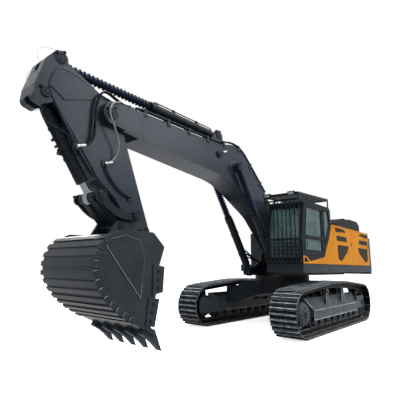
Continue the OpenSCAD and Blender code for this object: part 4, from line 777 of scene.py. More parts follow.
# %% Shapes of the pads
def pad(centre, half, tilt, power=0.32):
    """Cushion: P(u, v) = half (c(u) c(v), c(u) s(v), s(u)) with rounded powers, crowned, its sides drawn in."""
    u = np.linspace(-np.pi / 2, np.pi / 2, 25)[:, None]
    v = np.linspace(-np.pi, np.pi, 56, endpoint=False)[None, :]
    cu, su, cv, sv = (np.sign(w) * np.abs(w) ** power for w in (np.cos(u), np.sin(u), np.cos(v), np.sin(v)))
    x, y, z = cu * cv, cu * sv, su + 0 * v
    pull = 1 - 0.06 * (1 - z ** 2) * (np.abs(x * y) < 0.4)
    crown = 1 + 0.16 * (1 - x ** 2) * (1 - y ** 2)
    x, y, z = ((h * k)[..., None] for h, k in zip(half, (x * pull, y * pull, z * crown)))
    return rings(x * heading(tilt) + y * Y + z * heading(tilt + QUARTER_TURN) + centre)


def sewn(part, centre, half, tilt, channels):
    """Channels pressed in: height over the middle h becomes h (1 - 0.16 cos(channels pi y / half_y)^8)."""
    pts, faces = part
    n = heading(tilt + QUARTER_TURN)
    away = pts - centre
    press = 0.16 * np.cos(channels * np.pi * away[:, 1] / half[1]) ** 8 if channels else 0 * away[:, 1]
    return centre + away - (away @ n * press)[:, None] * n, faces


# %% Cloth for the pads
VOXEL, PUFF_CAP, PRESSURE, CLOTH_STEPS = 0.01, 0.012, 4.0, 20


def places(me):
    """Points of a mesh as one array."""
    flat = np.empty(3 * len(me.vertices), np.float32)
    me.vertices.foreach_get("co", flat)
    return flat.reshape(-1, 3).astype(float)


def puffed(part):
    """Pad blown up by cloth: voxel remesh, pressure, no gravity, each point's move capped at PUFF_CAP."""
    ob = mesh_object("pad_start", [part], seat_cloth)
    made.pop()
    remesh = ob.modifiers.new("remesh", "REMESH")
    remesh.mode, remesh.voxel_size = "VOXEL", VOXEL
    grown = bpy.data.meshes.new_from_object(ob.evaluated_get(bpy.context.evaluated_depsgraph_get()))
    ob.modifiers.clear()
    ob.data = grown
    start = places(grown)
    cloth = ob.modifiers.new("cloth", "CLOTH").settings
    cloth.use_pressure, cloth.uniform_pressure_force = True, PRESSURE
    cloth.effector_weights.gravity = 0.0
    for step in range(1, CLOTH_STEPS + 1):
        bpy.context.scene.frame_set(step)
    move = places(ob.evaluated_get(bpy.context.evaluated_depsgraph_get()).data) - start
    bpy.context.scene.frame_set(1)
    far = np.linalg.norm(move, axis=1, keepdims=True)
    faces = [tuple(q.vertices) for q in grown.polygons]
    bpy.data.objects.remove(ob)
    print("pad:", len(start), "points, largest move", round(float(min(far.max(), PUFF_CAP)) * 1000, 1), "mm")
    return start + move * np.minimum(1.0, PUFF_CAP / np.maximum(far, 1e-9)), faces


# %% The seat
FLOOR_Z, SEAT_X, SEAT_Y, SEAT_H, RECLINE = 1.6943, 0.22, 1.025, 0.39, math.radians(12)
back_up = heading(RECLINE + QUARTER_TURN)
hip = at(SEAT_X - 0.11, SEAT_Y, FLOOR_Z + SEAT_H)
# Rows of centre, half sizes, tilt and sewn channels
pad_rows = [(at(SEAT_X + 0.18, SEAT_Y, FLOOR_Z + SEAT_H), (0.30, 0.235, 0.054), 0.0, 3),
            (hip + back_up * 0.28, (0.26, 0.235, 0.043), RECLINE + QUARTER_TURN, 3),
            (hip + back_up * 0.66, (0.077, 0.122, 0.038), RECLINE + QUARTER_TURN, 0)]
pads = []
for centre, half, tilt, channels in pad_rows:
    part = pad(centre, half, tilt)
    pads.append(sewn(puffed(part), centre, half, tilt, channels))
seat = piece("seat_pads", pads, seat_cloth, "house", 60)
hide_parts("cab_seat")
round_off = seat.modifiers.new("round_off", "SUBSURF")
round_off.levels = round_off.render_levels = 1
base = [block(at(SEAT_X, SEAT_Y - 0.18, FLOOR_Z), at(SEAT_X + 0.44, SEAT_Y + 0.18, FLOOR_Z + 0.33))]
base += [tube([hip + back_up * 0.5 + Y * y, hip + back_up * 0.6 + Y * y], 0.008) for y in (-0.06, 0.06)]
piece("seat_base", base, console_moulding, "house")
tell("seat")

# %% [markdown]
# ## Engine bay
# Each bay door has three slots with wire mesh behind a rubber rim, knuckles on its hinge line and a flush latch
# at its free edge. The wires could be thin tubes, but thousands of them would be too fine to see, so the mesh
# is a panel with a woven pattern on a dark ground, a painted shade of the bay behind. The slots are given in
# shares of the door, so one table serves three doors.

# %% Grilles, hinges and latches
BAY_Y, SILL, DOOR_TOP, POST, LATCH_IN, LATCH_Z = 1.516, 1.644, 2.71, 0.03, 0.09, 2.28
BAY_FRONT, SPLIT, WEIGHT_X, RIGHT_X, RIGHT_SPLIT = -0.20, -1.80, -3.55, -1.04, -2.30
grille_shares = [
    [(0.19, 0.52), (0.755, 0.52), (0.70, 0.37), (0.35, 0.11), (0.21, 0.155)],
    [(0.17, 0.645), (0.69, 0.645), (0.67, 0.765), (0.155, 0.765)],
    [(0.10, 0.97), (0.54, 0.97), (0.66, 0.91), (0.13, 0.87)]]


def door_fittings(name, front, rear, side, shift, hinge_x, latch_x):
    """Mesh panels with rims, hinge knuckles and a latch for one bay door."""
    n = Y * side
    panels, rims = [], []
    for shares in grille_shares:
        pts = [at(front + (rear - front) * (u + shift), side * BAY_Y, SILL + (DOOR_TOP - SILL) * v)
               for u, v in shares]
        x, _, z = np.transpose(pts)
        # Every outline runs the same way round, seen from outside
        if (x @ np.roll(z, -1) - z @ np.roll(x, -1)) * side > 0:
            pts = pts[::-1]
        panels.append(slab([p - n * 0.002 for p in pts], n * 0.004))
        rims.append(seal([p + n * 0.001 for p in pts], 0.007))
    latch = [(0, 0.042), (0.008, 0.042), (0.01, 0.036), (0.006, 0.03)]
    rims.append(turned(at(latch_x, side * BAY_Y, LATCH_Z) - n * 0.003, n, latch, 28))
    knuckles = [turned(at(hinge_x, side * BAY_Y, z), Z, [(0, 0.011), (0.1, 0.011)], 14)
                for z in (1.75, 2.15, 2.52)]
    piece(name + "_mesh", panels, grille_mesh, name)
    piece(name + "_trim", rims, hose_rubber, name)
    piece(name + "_hinges", knuckles, amber, "house")


split_front, split_rear, right_rear = SPLIT + POST, SPLIT - POST, RIGHT_SPLIT + POST
door_fittings("left_front_door", BAY_FRONT, split_front, 1, 0.0, BAY_FRONT, split_front + LATCH_IN)
door_fittings("left_rear_door", WEIGHT_X, split_rear, 1, -0.065, split_rear, WEIGHT_X + LATCH_IN)
door_fittings("right_door", RIGHT_X, right_rear, -1, 0.0, RIGHT_X, right_rear + LATCH_IN)
tell("bay doors")

# %% [markdown]
# ## Tank caps and hood grips
# The tanks are filled through round caps with a bevelled rim, and two bows lift the hood. A screw modifier and a
# bevelled curve could make them. The turned pieces and tubes of this lesson do the same, and the bows ride on
# the hood so that they open with it.

# %% Tank caps and hood grips
GRIP_X, GRIP_FOOT, GRIP_TOP = -1.2, 2.748, 2.78
caps = [turned(at(-0.42, -0.82, 2.246), Z, [(0, 0.075), (0.03, 0.075), (0.045, 0.062)], 28),
        turned(at(-0.85, -1.05, 2.688), Z, [(0, 0.07), (0.03, 0.07), (0.04, 0.06)], 28)]
piece("tank_caps", caps, bolt_dark, "house")
grip = [(-0.07, GRIP_FOOT), (-0.06, GRIP_TOP), (0.06, GRIP_TOP), (0.07, GRIP_FOOT)]
hood_grips = [tube(smooth([at(GRIP_X, y + w, z) for w, z in grip], 6), 0.009) for y in (-0.6, -1.0)]
piece("hood_grips", hood_grips, hose_rubber, "hood")
tell("caps and grips")

# %% [markdown]
# ## Pins of the working arm
# A pin ends in a stepped cap and is kept from turning by a bar with two bolts. Both are the same at every
# pin, apart from the size, so a table of pins and two functions make them all. Each rides on the body that
# holds its pin, so that nothing is left behind when the arm moves.

# %% Pin caps and keepers
KEEPER_DOWN, KEEPER_UP = 250, 70
KEEPER_HALF, KEEPER_THICK = 0.02, 0.018


def pin_cap(p, side, r):
    """Stepped end of a pin: a turned profile that falls from radius r to a small centre."""
    n = Y * side
    rows = [(0, r), (0.012, r), (0.018, r * 0.93), (0.018, r * 0.42), (0.024, r * 0.38)]
    return turned(p - n * 0.003, n, rows, 32)


def keeper(p, side, r, angle):
    """Bar that locks a pin: a plate of length 2 r, beside the cap at an angle, with a bolt at each end."""
    n, a = Y * side, math.radians(angle)
    d, t = heading(a), heading(a + QUARTER_TURN)
    c = p + d * r * 1.02 + n * 0.004
    bar = plate(c - t * r - d * KEEPER_HALF, t * 2 * r, d * 2 * KEEPER_HALF, n * KEEPER_THICK)
    return [bar] + [b for k in (-0.75, 0.75) for b in bolt(c + t * r * k + n * 0.017, n, 0.017, 0.022)]


slot_of = {"house": "house_grey", "boom": "arm_slate", "arm": "arm_slate", "bucket": "arm_slate",
           "boom_rods": "barrel_slate", "guide_links": "barrel_slate"}
knee = stick_at(0.594, 0.312)
# Rows of body, place, half width and radius
pin_rows = [("house", pin("boom"), 0.367, 0.1), ("boom", pin("arm"), 0.34, 0.1),
            ("boom", pin("arm_barrel_swing"), 0.106, 0.085), ("arm", pin("bucket_barrel_swing"), 0.228, 0.085),
            ("arm", pin("guide_link_swing"), 0.352, 0.07), ("arm", pin("bucket"), 0.286, 0.085),
            ("bucket", pin("bucket_link_swing"), 0.278, 0.07), ("arm", stick_at(-0.44, 0.285), 0.23, 0.085),
            ("boom_rods", boom_at(0.467, 0.146), 0.483, 0.085), ("guide_links", knee, 0.344, 0.07)]
for body, slot in slot_of.items():
    caps, bars = [], []
    for place, y, r in (row[1:] for row in pin_rows if row[0] == body):
        for side in SIDES:
            caps.append(pin_cap(place + Y * side * y, side, r))
            bars += keeper(place + Y * side * y, side, r, KEEPER_DOWN if body == "bucket" else KEEPER_UP)
    if body == "guide_links":
        caps += [turned(knee + Y * side * 0.21, Y * side, [(0, 0.05), (0.09, 0.05)], 24) for side in SIDES]
    piece(body + "_pin_caps", caps, tube_coat, body)
    piece(body + "_pin_bolts", bars, bolt_dark, body)
tell("pins")

# %% [markdown]
# ## Cylinder barrels
# A barrel has a ring of bolts on its gland, a band behind it, and an oil pipe held by two clamps. The pipe is a
# tube along a smooth curve that starts and ends in the barrel. Bands are hoops, not discs: a disc would cut
# through the rod that slides inside.

# %% Gland bolts, bands and pipes
BARREL_R, PIPE_OFF, PIPE_Y, CLAMP_LONG = 0.1, 0.118, 0.03, 0.05
BOOM_CYL_Y, BOOM_GLAND, ARM_GLAND, BUCKET_GLAND = 0.425, 1.75, 2.14, 1.44
gland_band = [(0, 0.94 * BARREL_R), (0.006, 1.06 * BARREL_R), (0.018, 1.06 * BARREL_R),
              (0.024, 0.94 * BARREL_R)]


def hoop(p, axis, profile, n=36):
    """Ring: a closed profile of (s, r) turned about an axis, P(a, j) = p + axis s(j) + r(j) (u cos a + v sin a)."""
    s, r = (np.array(k)[None, :, None] for k in zip(*profile))
    pts = (p + s * axis + r * circle(*across(axis), n)[:, None, :]).reshape(-1, 3)
    m = len(profile)
    here = np.arange(n * m).reshape(n, m)
    ahead = np.roll(here, -1, axis=0)
    quads = np.stack([here, np.roll(here, -1, axis=1), np.roll(ahead, -1, axis=1), ahead], -1)
    return pts, [tuple(q) for q in quads.reshape(-1, 4).tolist()]


def strap(long, r):
    """Profile of a flat strap round a barrel."""
    return [(0, 0.094), (0, r), (long, r), (long, 0.094)]


# Rows of body, foot, rod's joint, length to the gland, and which way the pipe lies
barrels = [("boom_barrels", pin("boom_barrel_swing", side * BOOM_CYL_Y), "boom_rod_slide", BOOM_GLAND, 1)
           for side in SIDES]
barrels += [("arm_barrel", pin("arm_barrel_swing"), "arm_rod_slide", ARM_GLAND, 1),
            ("bucket_barrel", pin("bucket_barrel_swing"), "bucket_rod_slide", BUCKET_GLAND, -1)]
fittings = {}
for body, foot, joint, length, way in barrels:
    axis = slide_axis(joint)
    over = np.cross(axis, Y)
    over *= np.sign(over[2]) * way
    end, off = foot + axis * length, over * PIPE_OFF
    bolts, bands, pipes = fittings.setdefault(body, ([], [], []))
    bolts += ring_of(end - axis * 0.002, axis, 0.8 * BARREL_R, 8, lambda p: bolt(p, axis, 0.011, 0.016))
    route = [foot + axis * 0.24 + over * 0.08, foot + axis * 0.27 + off, foot + axis * length * 0.5 + off,
             foot + axis * (length - 0.17) + off, foot + axis * (length - 0.1) + over * 0.09]
    pipes.append(tube(smooth(route, 10) + Y * PIPE_Y, 0.013))
    clamp_feet = [foot + axis * (length * k - CLAMP_LONG / 2) for k in (0.35, 0.7)]
    bands.append(hoop(end - axis * 0.15, axis, gland_band))
    bands += [hoop(p, axis, strap(CLAMP_LONG, 0.101)) for p in clamp_feet]
    bands += [turned(p + off + Y * PIPE_Y, axis, [(0, 0.024), (CLAMP_LONG, 0.024)], 12) for p in clamp_feet]

# Three lugs on a strap at the front of the bucket cylinder
foot, axis = pin("bucket_barrel_swing"), slide_axis("bucket_rod_slide")
ahead = np.cross(axis, Y)
ahead *= np.sign(ahead[0])
lugs = [hoop(foot + axis * 0.62, axis, strap(0.07, 0.106))]
lugs += [plate(foot + axis * k + ahead * 0.085 - Y * 0.03, Y * 0.06, ahead * 0.06, axis * 0.045)
         for k in (0.64, 0.75, 0.86)]
fittings["bucket_barrel"][1].extend(lugs)
for body, (bolts, bands, pipes) in fittings.items():
    piece(body + "_gland_bolts", bolts, bolt_dark, body)
    piece(body + "_bands", bands, tube_coat, body)
    piece(body + "_pipes", pipes, tube_coat, body)
tell("barrels")

# %% [markdown]
# ## Ridged sleeves
# The boom and arm rods wear folded sleeves that keep grit off the chrome and fold up as the rod slides in. Real
# folds could be bones or shape keys. Here each sleeve is a rigid turned piece with ridges that rides on its rod.

# %% Sleeves on the rods
SLEEVE_R, RIDGE, SLEEVE_BORE, GLAND_GAP, EYE_GAP = 0.063, 0.03, 0.059, 0.02, 0.09
BOOM_REACH, ARM_REACH = 3.0604, 4.1619


def sleeve(foot, axis, start, end, pitch):
    """Turned sleeve: r(s) = SLEEVE_R + RIDGE (1 - |cos(pi s / pitch)|^0.8), a row of sharp folds."""
    s = np.linspace(start, end, int((end - start) / pitch * 12) + 1)
    r = SLEEVE_R + RIDGE * (1 - np.abs(np.cos(np.pi * (s - start) / pitch)) ** 0.8)
    return turned(foot, axis, [(start, SLEEVE_BORE), *zip(s, r), (end, SLEEVE_BORE)], 28)


def rod_sleeve(name, body, feet, joint, gland, reach, pitch):
    """Ridged sleeves on a rod's body, from past the gland to short of the rod's eye."""
    axis, end = slide_axis(joint), reach - EYE_GAP
    parts = [sleeve(f, axis, gland + GLAND_GAP, end, pitch) for f in feet]
    ob = piece(name, parts, sleeve_navy, body, 50)
    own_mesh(ob)


boom_feet = [pin("boom_barrel_swing", side * BOOM_CYL_Y) for side in SIDES]
rod_sleeve("boom_rod_sleeves", "boom_rods", boom_feet, "boom_rod_slide", BOOM_GLAND, BOOM_REACH, 0.06)
arm_feet = [pin("arm_barrel_swing")]
rod_sleeve("arm_rod_sleeve", "arm_rod", arm_feet, "arm_rod_slide", ARM_GLAND, ARM_REACH, 0.085)
tell("sleeves")

# %% [markdown]
# ## Pipes along the boom
# Oil runs to the stick through steel pipes clamped over the boom's upper edge. They could be curves drawn by
# hand. They follow the very outline that the boom's plate was cut to, lifted off it, so they stay over the
# edge all the way, and near the tip they come down to where the hoses begin.

# %% The boom's upper edge
# Corners of the edge from tip to foot: shares along and above the chord, and the corner's radius
boom_rows = [(1.030, 0.026, 0.026), (0.955, 0.055, 0.05), (0.580, 0.178, 0.2), (0.470, 0.245, 0.13),
             (0.200, 0.138, 0.3), (-0.026, 0.030, 0.026)]
EDGE_STEPS, EASE_STEPS, TIP_LIFT, LIFT = 90, 5, 0.028, 0.068


def rounded(rows):
    """Outline through rows (u, v, r): each corner is an arc of radius r that touches both sides."""
    out = []
    for a, b, c in zip(rows[:-2], rows[1:-1], rows[2:]):
        p, q, w = (np.array(k[:2]) for k in (a, b, c))
        e, f = (p - q) / np.linalg.norm(p - q), (w - q) / np.linalg.norm(w - q)
        half = math.acos(e @ f) / 2
        m = q + (e + f) / np.linalg.norm(e + f) * b[2] / math.sin(half)
        s, t = q + e * b[2] / math.tan(half) - m, q + f * b[2] / math.tan(half) - m
        first, last = math.atan2(s[1], s[0]), math.atan2(t[1], t[0])
        sweep = (last - first + math.pi) % (2 * math.pi) - math.pi
        angle = first + sweep * np.linspace(0, 1, 9)
        out.append(m + b[2] * np.stack([np.cos(angle), np.sin(angle)], 1))
    return np.vstack(out)


def edge_path(y, lift):
    """Path along the boom's upper edge and its normals; the lift eases down at the tip: e = 3 t^2 - 2 t^3."""
    t = np.clip(np.arange(EDGE_STEPS) / EASE_STEPS, 0, 1)
    lift = (TIP_LIFT + (lift - TIP_LIFT) * (3 * t ** 2 - 2 * t ** 3))[:, None]
    p = np.array([boom_at(u, v, y) for u, v in edge])
    d = np.gradient(p, axis=0)
    n = np.stack([-d[:, 2], 0 * d[:, 0], d[:, 0]], 1)
    n /= np.linalg.norm(n, axis=1)[:, None]
    n *= np.sign(n[:, 2])[:, None]
    return p + n * lift, n


top_edge = rounded(boom_rows)
run = lengths_along(top_edge)
edge = stepped(top_edge, np.linspace(run[2], run[-1] - 0.05, EDGE_STEPS))
print("upper edge of the boom:", round(float(run[-1]) * BOOM_LEN, 2), "m")

# %% Pipes and clamps
PIPE_LINES = (0.262, 0.3)
CLAMP_W, CLAMP_L, FOOT_L, FOOT_H, BOOM_FACE = 0.17, 0.06, 0.09, 0.06, 0.309
pipes, clamps = [tube(edge_path(side * y, LIFT)[0], 0.018) for side in (1, -1) for y in PIPE_LINES], []
for y in (0.24, -0.23):
    out = Y * np.sign(y)
    path, normals = edge_path(y, LIFT)
    for k in range(6, 88, 11):
        n, d = normals[k], path[k + 1] - path[k - 1]
        d /= np.linalg.norm(d)
        corner = path[k] - d * CLAMP_L / 2 - n * (LIFT + 0.005) - Y * CLAMP_W / 2
        clamps.append(plate(corner, Y * CLAMP_W, n * (LIFT + 0.03), d * CLAMP_L))
        clamps += bolt(path[k] + n * 0.025, n, 0.012, 0.018)
        corner = path[k] + Y * (np.sign(y) * BOOM_FACE - path[k][1]) - n * (LIFT + 0.055) - d * FOOT_L / 2
        clamps.append(plate(corner, d * FOOT_L, n * FOOT_H, out * 0.02))
piece("boom_pipes", pipes, tube_coat, "boom")
piece("boom_pipe_clamps", clamps, bolt_dark, "boom")
tell("boom pipes")

# %% [markdown]
# ## Hoses across the joints
# Where pipes meet a joint, hoses take over: reinforced rubber, crimped into steel connectors at both ends and
# stiff enough to stand in an arc. Each could be a bevelled curve.

# %% Hoses and their ends
hose_lengths = {}


def even(curve, count=32):
    """Points at equal steps of arc length along a curve, and its length."""
    length = float(lengths_along(curve)[-1])
    return stepped(curve, np.linspace(0, length, count)), length


def hose(name, curve, r, mat=hose_rubber):
    """One hydraulic hose, a tube of radius r along a curve, its length kept in hose_lengths."""
    way, length = even(curve)
    ob = mesh_object(name, [tube(way, r, 12)], mat, 50)
    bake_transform(ob)
    hose_lengths[name] = round(length, 2)


def fitting(end, before, r=0.021, long=0.15):
    """Crimped hose end: a turned ferrule, a neck and a nut, pointing along the hose."""
    d = (end - before) / np.linalg.norm(end - before)
    rows = [(0, r * 0.85), (0.01, r), (long * 0.6, r), (long * 0.62, r * 0.8), (long * 0.7, r * 0.8),
            (long * 0.7, r * 1.2), (long, r * 1.2)]
    return turned(end - d * long, d, rows, 12)


# %% Hoses at the boom's tip
# Places (x, z) of the loop from the boom's tip to the stick's bracket, and (x, y, z) of the guarded hose
loop = [(6.66, 4.40), (6.775, 4.15), (6.785, 3.80), (6.80, 3.56), (6.90, 3.42), (7.07, 3.346)]
guarded = [(6.36, 0.345, 4.31), (6.53, 0.375, 4.22), (6.59, 0.39, 4.03), (6.46, 0.37, 3.80), (6.34, 0.33, 3.56),
           (6.345, 0.285, 3.36), (6.44, 0.258, 3.24), (6.53, 0.244, 3.195)]
stick_nuts, boom_nuts = [], []
for sign, side in ((1, "near"), (-1, "far")):
    for k, y in enumerate(PIPE_LINES):
        path = edge_path(sign * y, LIFT)[0]
        widths = [y + 0.03] + [0.264 + 0.04 * k] * 5
        rest = [at(x + 0.012 * k, sign * w, z - 0.01 * k) for (x, z), w in zip(loop, widths)]
        curve = smooth([path[0], path[0] + (path[0] - path[1]) * 3] + rest, 10)
        hose(f"tip_hose_{side}_{k + 1}", curve, 0.018)
        stick_nuts.append(fitting(curve[-1], curve[-6]))
        boom_nuts.append(fitting(path[0], path[2], 0.02, 0.1))
curve = smooth([at(*p) for p in guarded], 10)
hose("tip_side_hose", curve, 0.016, hose_wrap)
stick_nuts.append(fitting(curve[-1], curve[-6]))
tell("tip hoses")

# %% [markdown]
# ## Lines on the stick and the boom's side
# From the brackets on the stick a steel pipe goes on to the bucket's cylinder, and a thin line brings grease to
# the head. The boom's side has a bolted disc and one plated connector. Tubes and turned pieces make them, and
# the brackets are plain blocks, as they are on the machine.

# %% Lines on the stick and the boom's side
BRACKET_HALF, BRACKET_Y0, BRACKET_Y1 = 0.05, 0.218, 0.246
feed = [(6.53, 3.195), (6.50, 3.10), (6.46, 3.03), (6.383, 2.94), (6.25, 2.82), (6.10, 2.74), (5.961, 2.705)]
grease = [(7.675, 3.819), (7.612, 3.626), (7.50, 3.57), (7.389, 3.543), (7.222, 3.484), (7.07, 3.36)]
stick_lines = [tube(smooth([at(x, y, z) for x, z in points], 10), r, 12)
               for points, y, r in ((feed, 0.252, 0.018), (grease, 0.246, 0.007))]
piece("stick_pipes", stick_lines, tube_coat, "arm")
brackets = []
for x, z, side in ((7.07, 3.346, 1), (6.53, 3.195, 1), (5.97, 2.70, 1), (7.07, 3.346, -1)):
    y0, y1 = sorted((side * BRACKET_Y0, side * BRACKET_Y1))
    brackets.append(block(at(x - BRACKET_HALF, y0, z - BRACKET_HALF),
                          at(x + BRACKET_HALF, y1, z + BRACKET_HALF)))
piece("stick_brackets", brackets, bolt_dark, "arm")
piece("stick_connectors", stick_nuts, zinc, "arm")
piece("boom_connectors", boom_nuts, zinc, "boom")
disc = [(0, 0.085), (0.03, 0.085), (0.045, 0.07), (0.045, 0.04), (0.06, 0.036)]
piece("boom_side_disc", [turned(at(3.511, BOOM_FACE, 4.116), Y, disc, 32)], tube_coat, "boom")
side_fitting = fitting(at(3.24, 0.335, 4.24), at(3.44, 0.335, 4.16), 0.024, 0.13)
piece("boom_side_fitting", [side_fitting], zinc, "boom")
tell("lines and connectors")

# %% [markdown]
# ## Hoses at the boom's foot
# Six hoses feed the boom's cylinders and four go up the boom's back. A cloth or rope simulation could let them
# hang, but such hoses are stiff and held at both ends, so a smooth curve through a few points is closer to the
# real thing. They lie low in front of the foot, so that the boom clears them when it comes down.

# %% Hoses at the boom's foot
foot, slide, swing = pin("boom"), slide_axis("boom_rod_slide"), pin("boom_barrel_swing")
low_nuts = []
for side, hand in zip(SIDES, ("right", "left")):
    inwards = -Y * side
    for k in range(3):
        y = side * (0.07 + 0.07 * k)
        end = pin("boom_barrel_swing", side * BOOM_CYL_Y) + slide * (0.48 + 0.1 * k) + inwards * 0.1
        curve = smooth([at(0.36, y, 1.50), at(0.47, y, 1.57), at(0.66 + 0.05 * k, y, 1.61 + 0.02 * k),
                        (end + at(0.84, y, 1.62)) * 0.5 + inwards * 0.03, end + inwards * 0.06, end], 8)
        low_nuts.append(fitting(curve[0], curve[6], 0.026, 0.16))
        hose(f"boom_foot_hose_{hand}_{k + 1}", curve, 0.02)
piece("boom_foot_connectors", low_nuts, zinc, "house")
for k, y in enumerate((-0.19, -0.11, 0.11, 0.19)):
    a, b = foot + np.array([-0.632, y, 0.16]), boom_at(0.052, 0.066, y)
    curve = smooth([a, a + X * 0.10 + Z * 0.01, a * 0.6 + b * 0.4 + Z * 0.14,
                    a * 0.25 + b * 0.75 + Z * 0.14, b], 8)
    hose(f"boom_back_hose_{k + 1}", curve, 0.018)
print("hoses, m:", hose_lengths)
tell("foot hoses")

# %% [markdown]
# ## Two thin wires
# Two stiff wires stand off the stick's head in flat loops, each with both ends in the head. Curves with a round
# bevel would do. They are tubes like the hoses, so that their length is measured in the same way, and they are
# so thin that eight steps round are enough.

# %% Wires on the stick's head
WIRE_R = 0.004


def wire(name, y, points):
    """Stiff wire: a round of radius WIRE_R along a smooth curve through places (x, z)."""
    curve, length = even(smooth([at(x, y, z) for x, z in points], 12))
    ob = piece(name, [tube(curve, WIRE_R, 8)], zinc, "arm")
    print(name, round(length, 3), "m")


wire("head_wire_top", 0.15, [(7.668, 4.52), (7.735, 4.55), (7.755, 4.65), (7.71, 4.745), (7.62, 4.80),
                             (7.53, 4.81), (7.465, 4.788)])
wire("head_wire_front", 0.05, [(7.754, 4.114), (7.81, 4.16), (7.835, 4.24), (7.815, 4.33), (7.77, 4.385),
                               (7.703, 4.40)])
tell("wires")

# %% [markdown]
# ## Weld beads and rounded ridges
# The boom is welded from plates, so a bead runs along its edges and round its bosses, and the stick's head has
# rounded edges that catch the light. A bevel on the solids would do it too, but their meshes stay as they are.
# A thin round, half sunk along the edge, gives the same line of light.

# %% Boom beads and stick ridges
BEAD_STEP, RIDGE_R, RIDGE_END, RIDGE_Y = 0.022, 0.02, 0.004, 0.221


def bead(points, r=0.009):
    """Weld bead: a round of radius r along a path, half sunk, in steps of about BEAD_STEP."""
    length = lengths_along(points)[-1]
    count = min(240, max(8, int(length / BEAD_STEP)))
    return tube(stepped(points, np.linspace(0, length, count)), r, 6)


boom_beads, stick_ridges = [], []
front_ridge = [(7.396, 4.53), (7.472, 4.474), (7.533, 4.343), (7.564, 4.168), (7.522, 4.056), (7.422, 3.902),
               (7.044, 3.377), (6.70, 2.95)]
back_ridge = [(7.472, 4.474), (7.396, 4.53), (7.182, 4.517), (6.95, 4.44)]
for side in SIDES:
    boom_beads.append(bead([boom_at(u, v, side * 0.308) for u, v in edge], 0.01))
    for boss, r in ((boom_at(0.467, 0.146), 0.152), (foot, 0.172)):
        around = [boss + Y * side * 0.31 + heading(w) * r for w in np.linspace(0, 2 * np.pi, 49)]
        boom_beads.append(bead(around))
    boom_beads.append(bead([at(4.35, side * 0.31, z) for z in (3.87, 4.0, 4.12)], 0.005))
    for way in (front_ridge, back_ridge):
        curve = smooth([at(x, side * RIDGE_Y, z) for x, z in way], 8)
        swell = np.interp(np.linspace(0, 1, len(curve)), [0, 0.06, 0.94, 1],
                          [RIDGE_END, RIDGE_R, RIDGE_R, RIDGE_END])
        stick_ridges.append(tube(curve, swell, 10))
piece("stick_ridges", stick_ridges, slate, "arm", 60)
piece("boom_weld_beads", boom_beads, weld_coat, "boom", 60)
tell("beads and ridges")

# %% [markdown]
# ## Bucket
# Twelve strips stiffen the bucket's back, and each is welded on round its end. A heart-shaped plate on each side
# has a bare seam behind and a painted one before. Cutters are bolted on, and each tooth is held by a pin. The
# seams could be painted on with a mask. Beads of their own catch the light, and their places come from the
# back's outline, stepped off by arc length as the solid's strips are.

# %% Bucket welds, cutter bolts and tooth pins
HALF, STRIPS, STRIP_W, TAB = 0.727, 12, 0.08, 0.07
TEETH, TEETH_SPAN, TOOTH_HALF = 5, 1.292, 0.053
back_rows = [(0.79, -0.08), (0.914, -0.18), (0.983, -0.342), (0.99, -0.526), (0.898, -0.695), (0.783, -0.834),
             (0.606, -0.972), (0.39, -1.095)]
heart = [(0.315, -0.81), (0.275, -0.334), (0.352, -0.126), (0.575, -0.072), (0.80, -0.134), (0.845, -0.21)]
heart_joint = (0.302, -0.65)
cutters = np.array([[(0.13, -0.40), (-0.055, -0.434), (-0.04, -0.75), (0.13, -0.78)],
                    [(0.19, -0.80), (0.014, -0.826), (0.083, -1.16), (0.22, -1.13)]])
back = np.array([bucket_at(u, v) for u, v in back_rows])
back_length = lengths_along(back)[-1]
tab_welds, heart_welds, heart_edges, cutter_bolts, tooth_pins = [], [], [], [], []
for side in SIDES:
    out = Y * side
    for i in range(STRIPS):
        middle = back_length * (i + 0.5) / STRIPS
        p, q = stepped(back, [middle - STRIP_W / 2, middle + STRIP_W / 2])
        d = (q - p) / np.linalg.norm(q - p) * STRIP_W / 2
        inwards = np.array([d[2], 0, -d[0]]) * TAB / (STRIP_W / 2)
        m = (p + q) / 2 + out * (HALF + 0.003)
        tab_welds.append(bead([m - d, m - d + inwards, m + d + inwards, m + d], 0.008))
    for rows, r, welds in (([heart[-1], heart[0], heart_joint], 0.006, heart_welds),
                           ([heart_joint] + heart[1:], 0.008, heart_edges)):
        welds.append(bead([bucket_at(u, v) + out * (HALF + 0.009) for u, v in rows], r))
    for a, b, c, d in cutters:
        top, low = (a + b) / 2, (d + c) / 2
        for share in (0.2, 0.5, 0.8):
            u, v = top + (low - top) * share
            cutter_bolts += bolt(bucket_at(u, v) + out * (HALF + 0.022), out, 0.026, 0.026)
    for y in TEETH_SPAN * (np.arange(TEETH) / (TEETH - 1) - 0.5):
        tooth_pins.append(turned(bucket_at(0.085, -1.20, y + side * TOOTH_HALF), out,
                                 [(0, 0.024), (0.008, 0.024), (0.012, 0.018)], 16))
piece("tooth_pins", tooth_pins, bolt_dark, "bucket")
piece("bucket_tab_welds", tab_welds, weld_bright, "bucket", 60)
piece("bucket_heart_welds", heart_welds, weld_bright, "bucket", 60)
piece("bucket_heart_edges", heart_edges, weld_coat, "bucket", 60)
piece("bucket_cutter_bolts", cutter_bolts, bolt_dark, "bucket")
tell("bucket")

# %% [markdown]
# ## Stage
# The picture has a plain white ground and soft daylight. More light on a white floor would wash out the object,
# so the floor and the world are white only for rays from the camera, through glass and off gloss. Other rays
# see a grey floor and a sky that is dark near the horizon, which gives the dark paint its shading.

# %% Floor and world
BACKGROUND = ("Camera", "Transmission", "Glossy")
FLOOR_HALF, FLOOR_GLOW = 400, 0.72


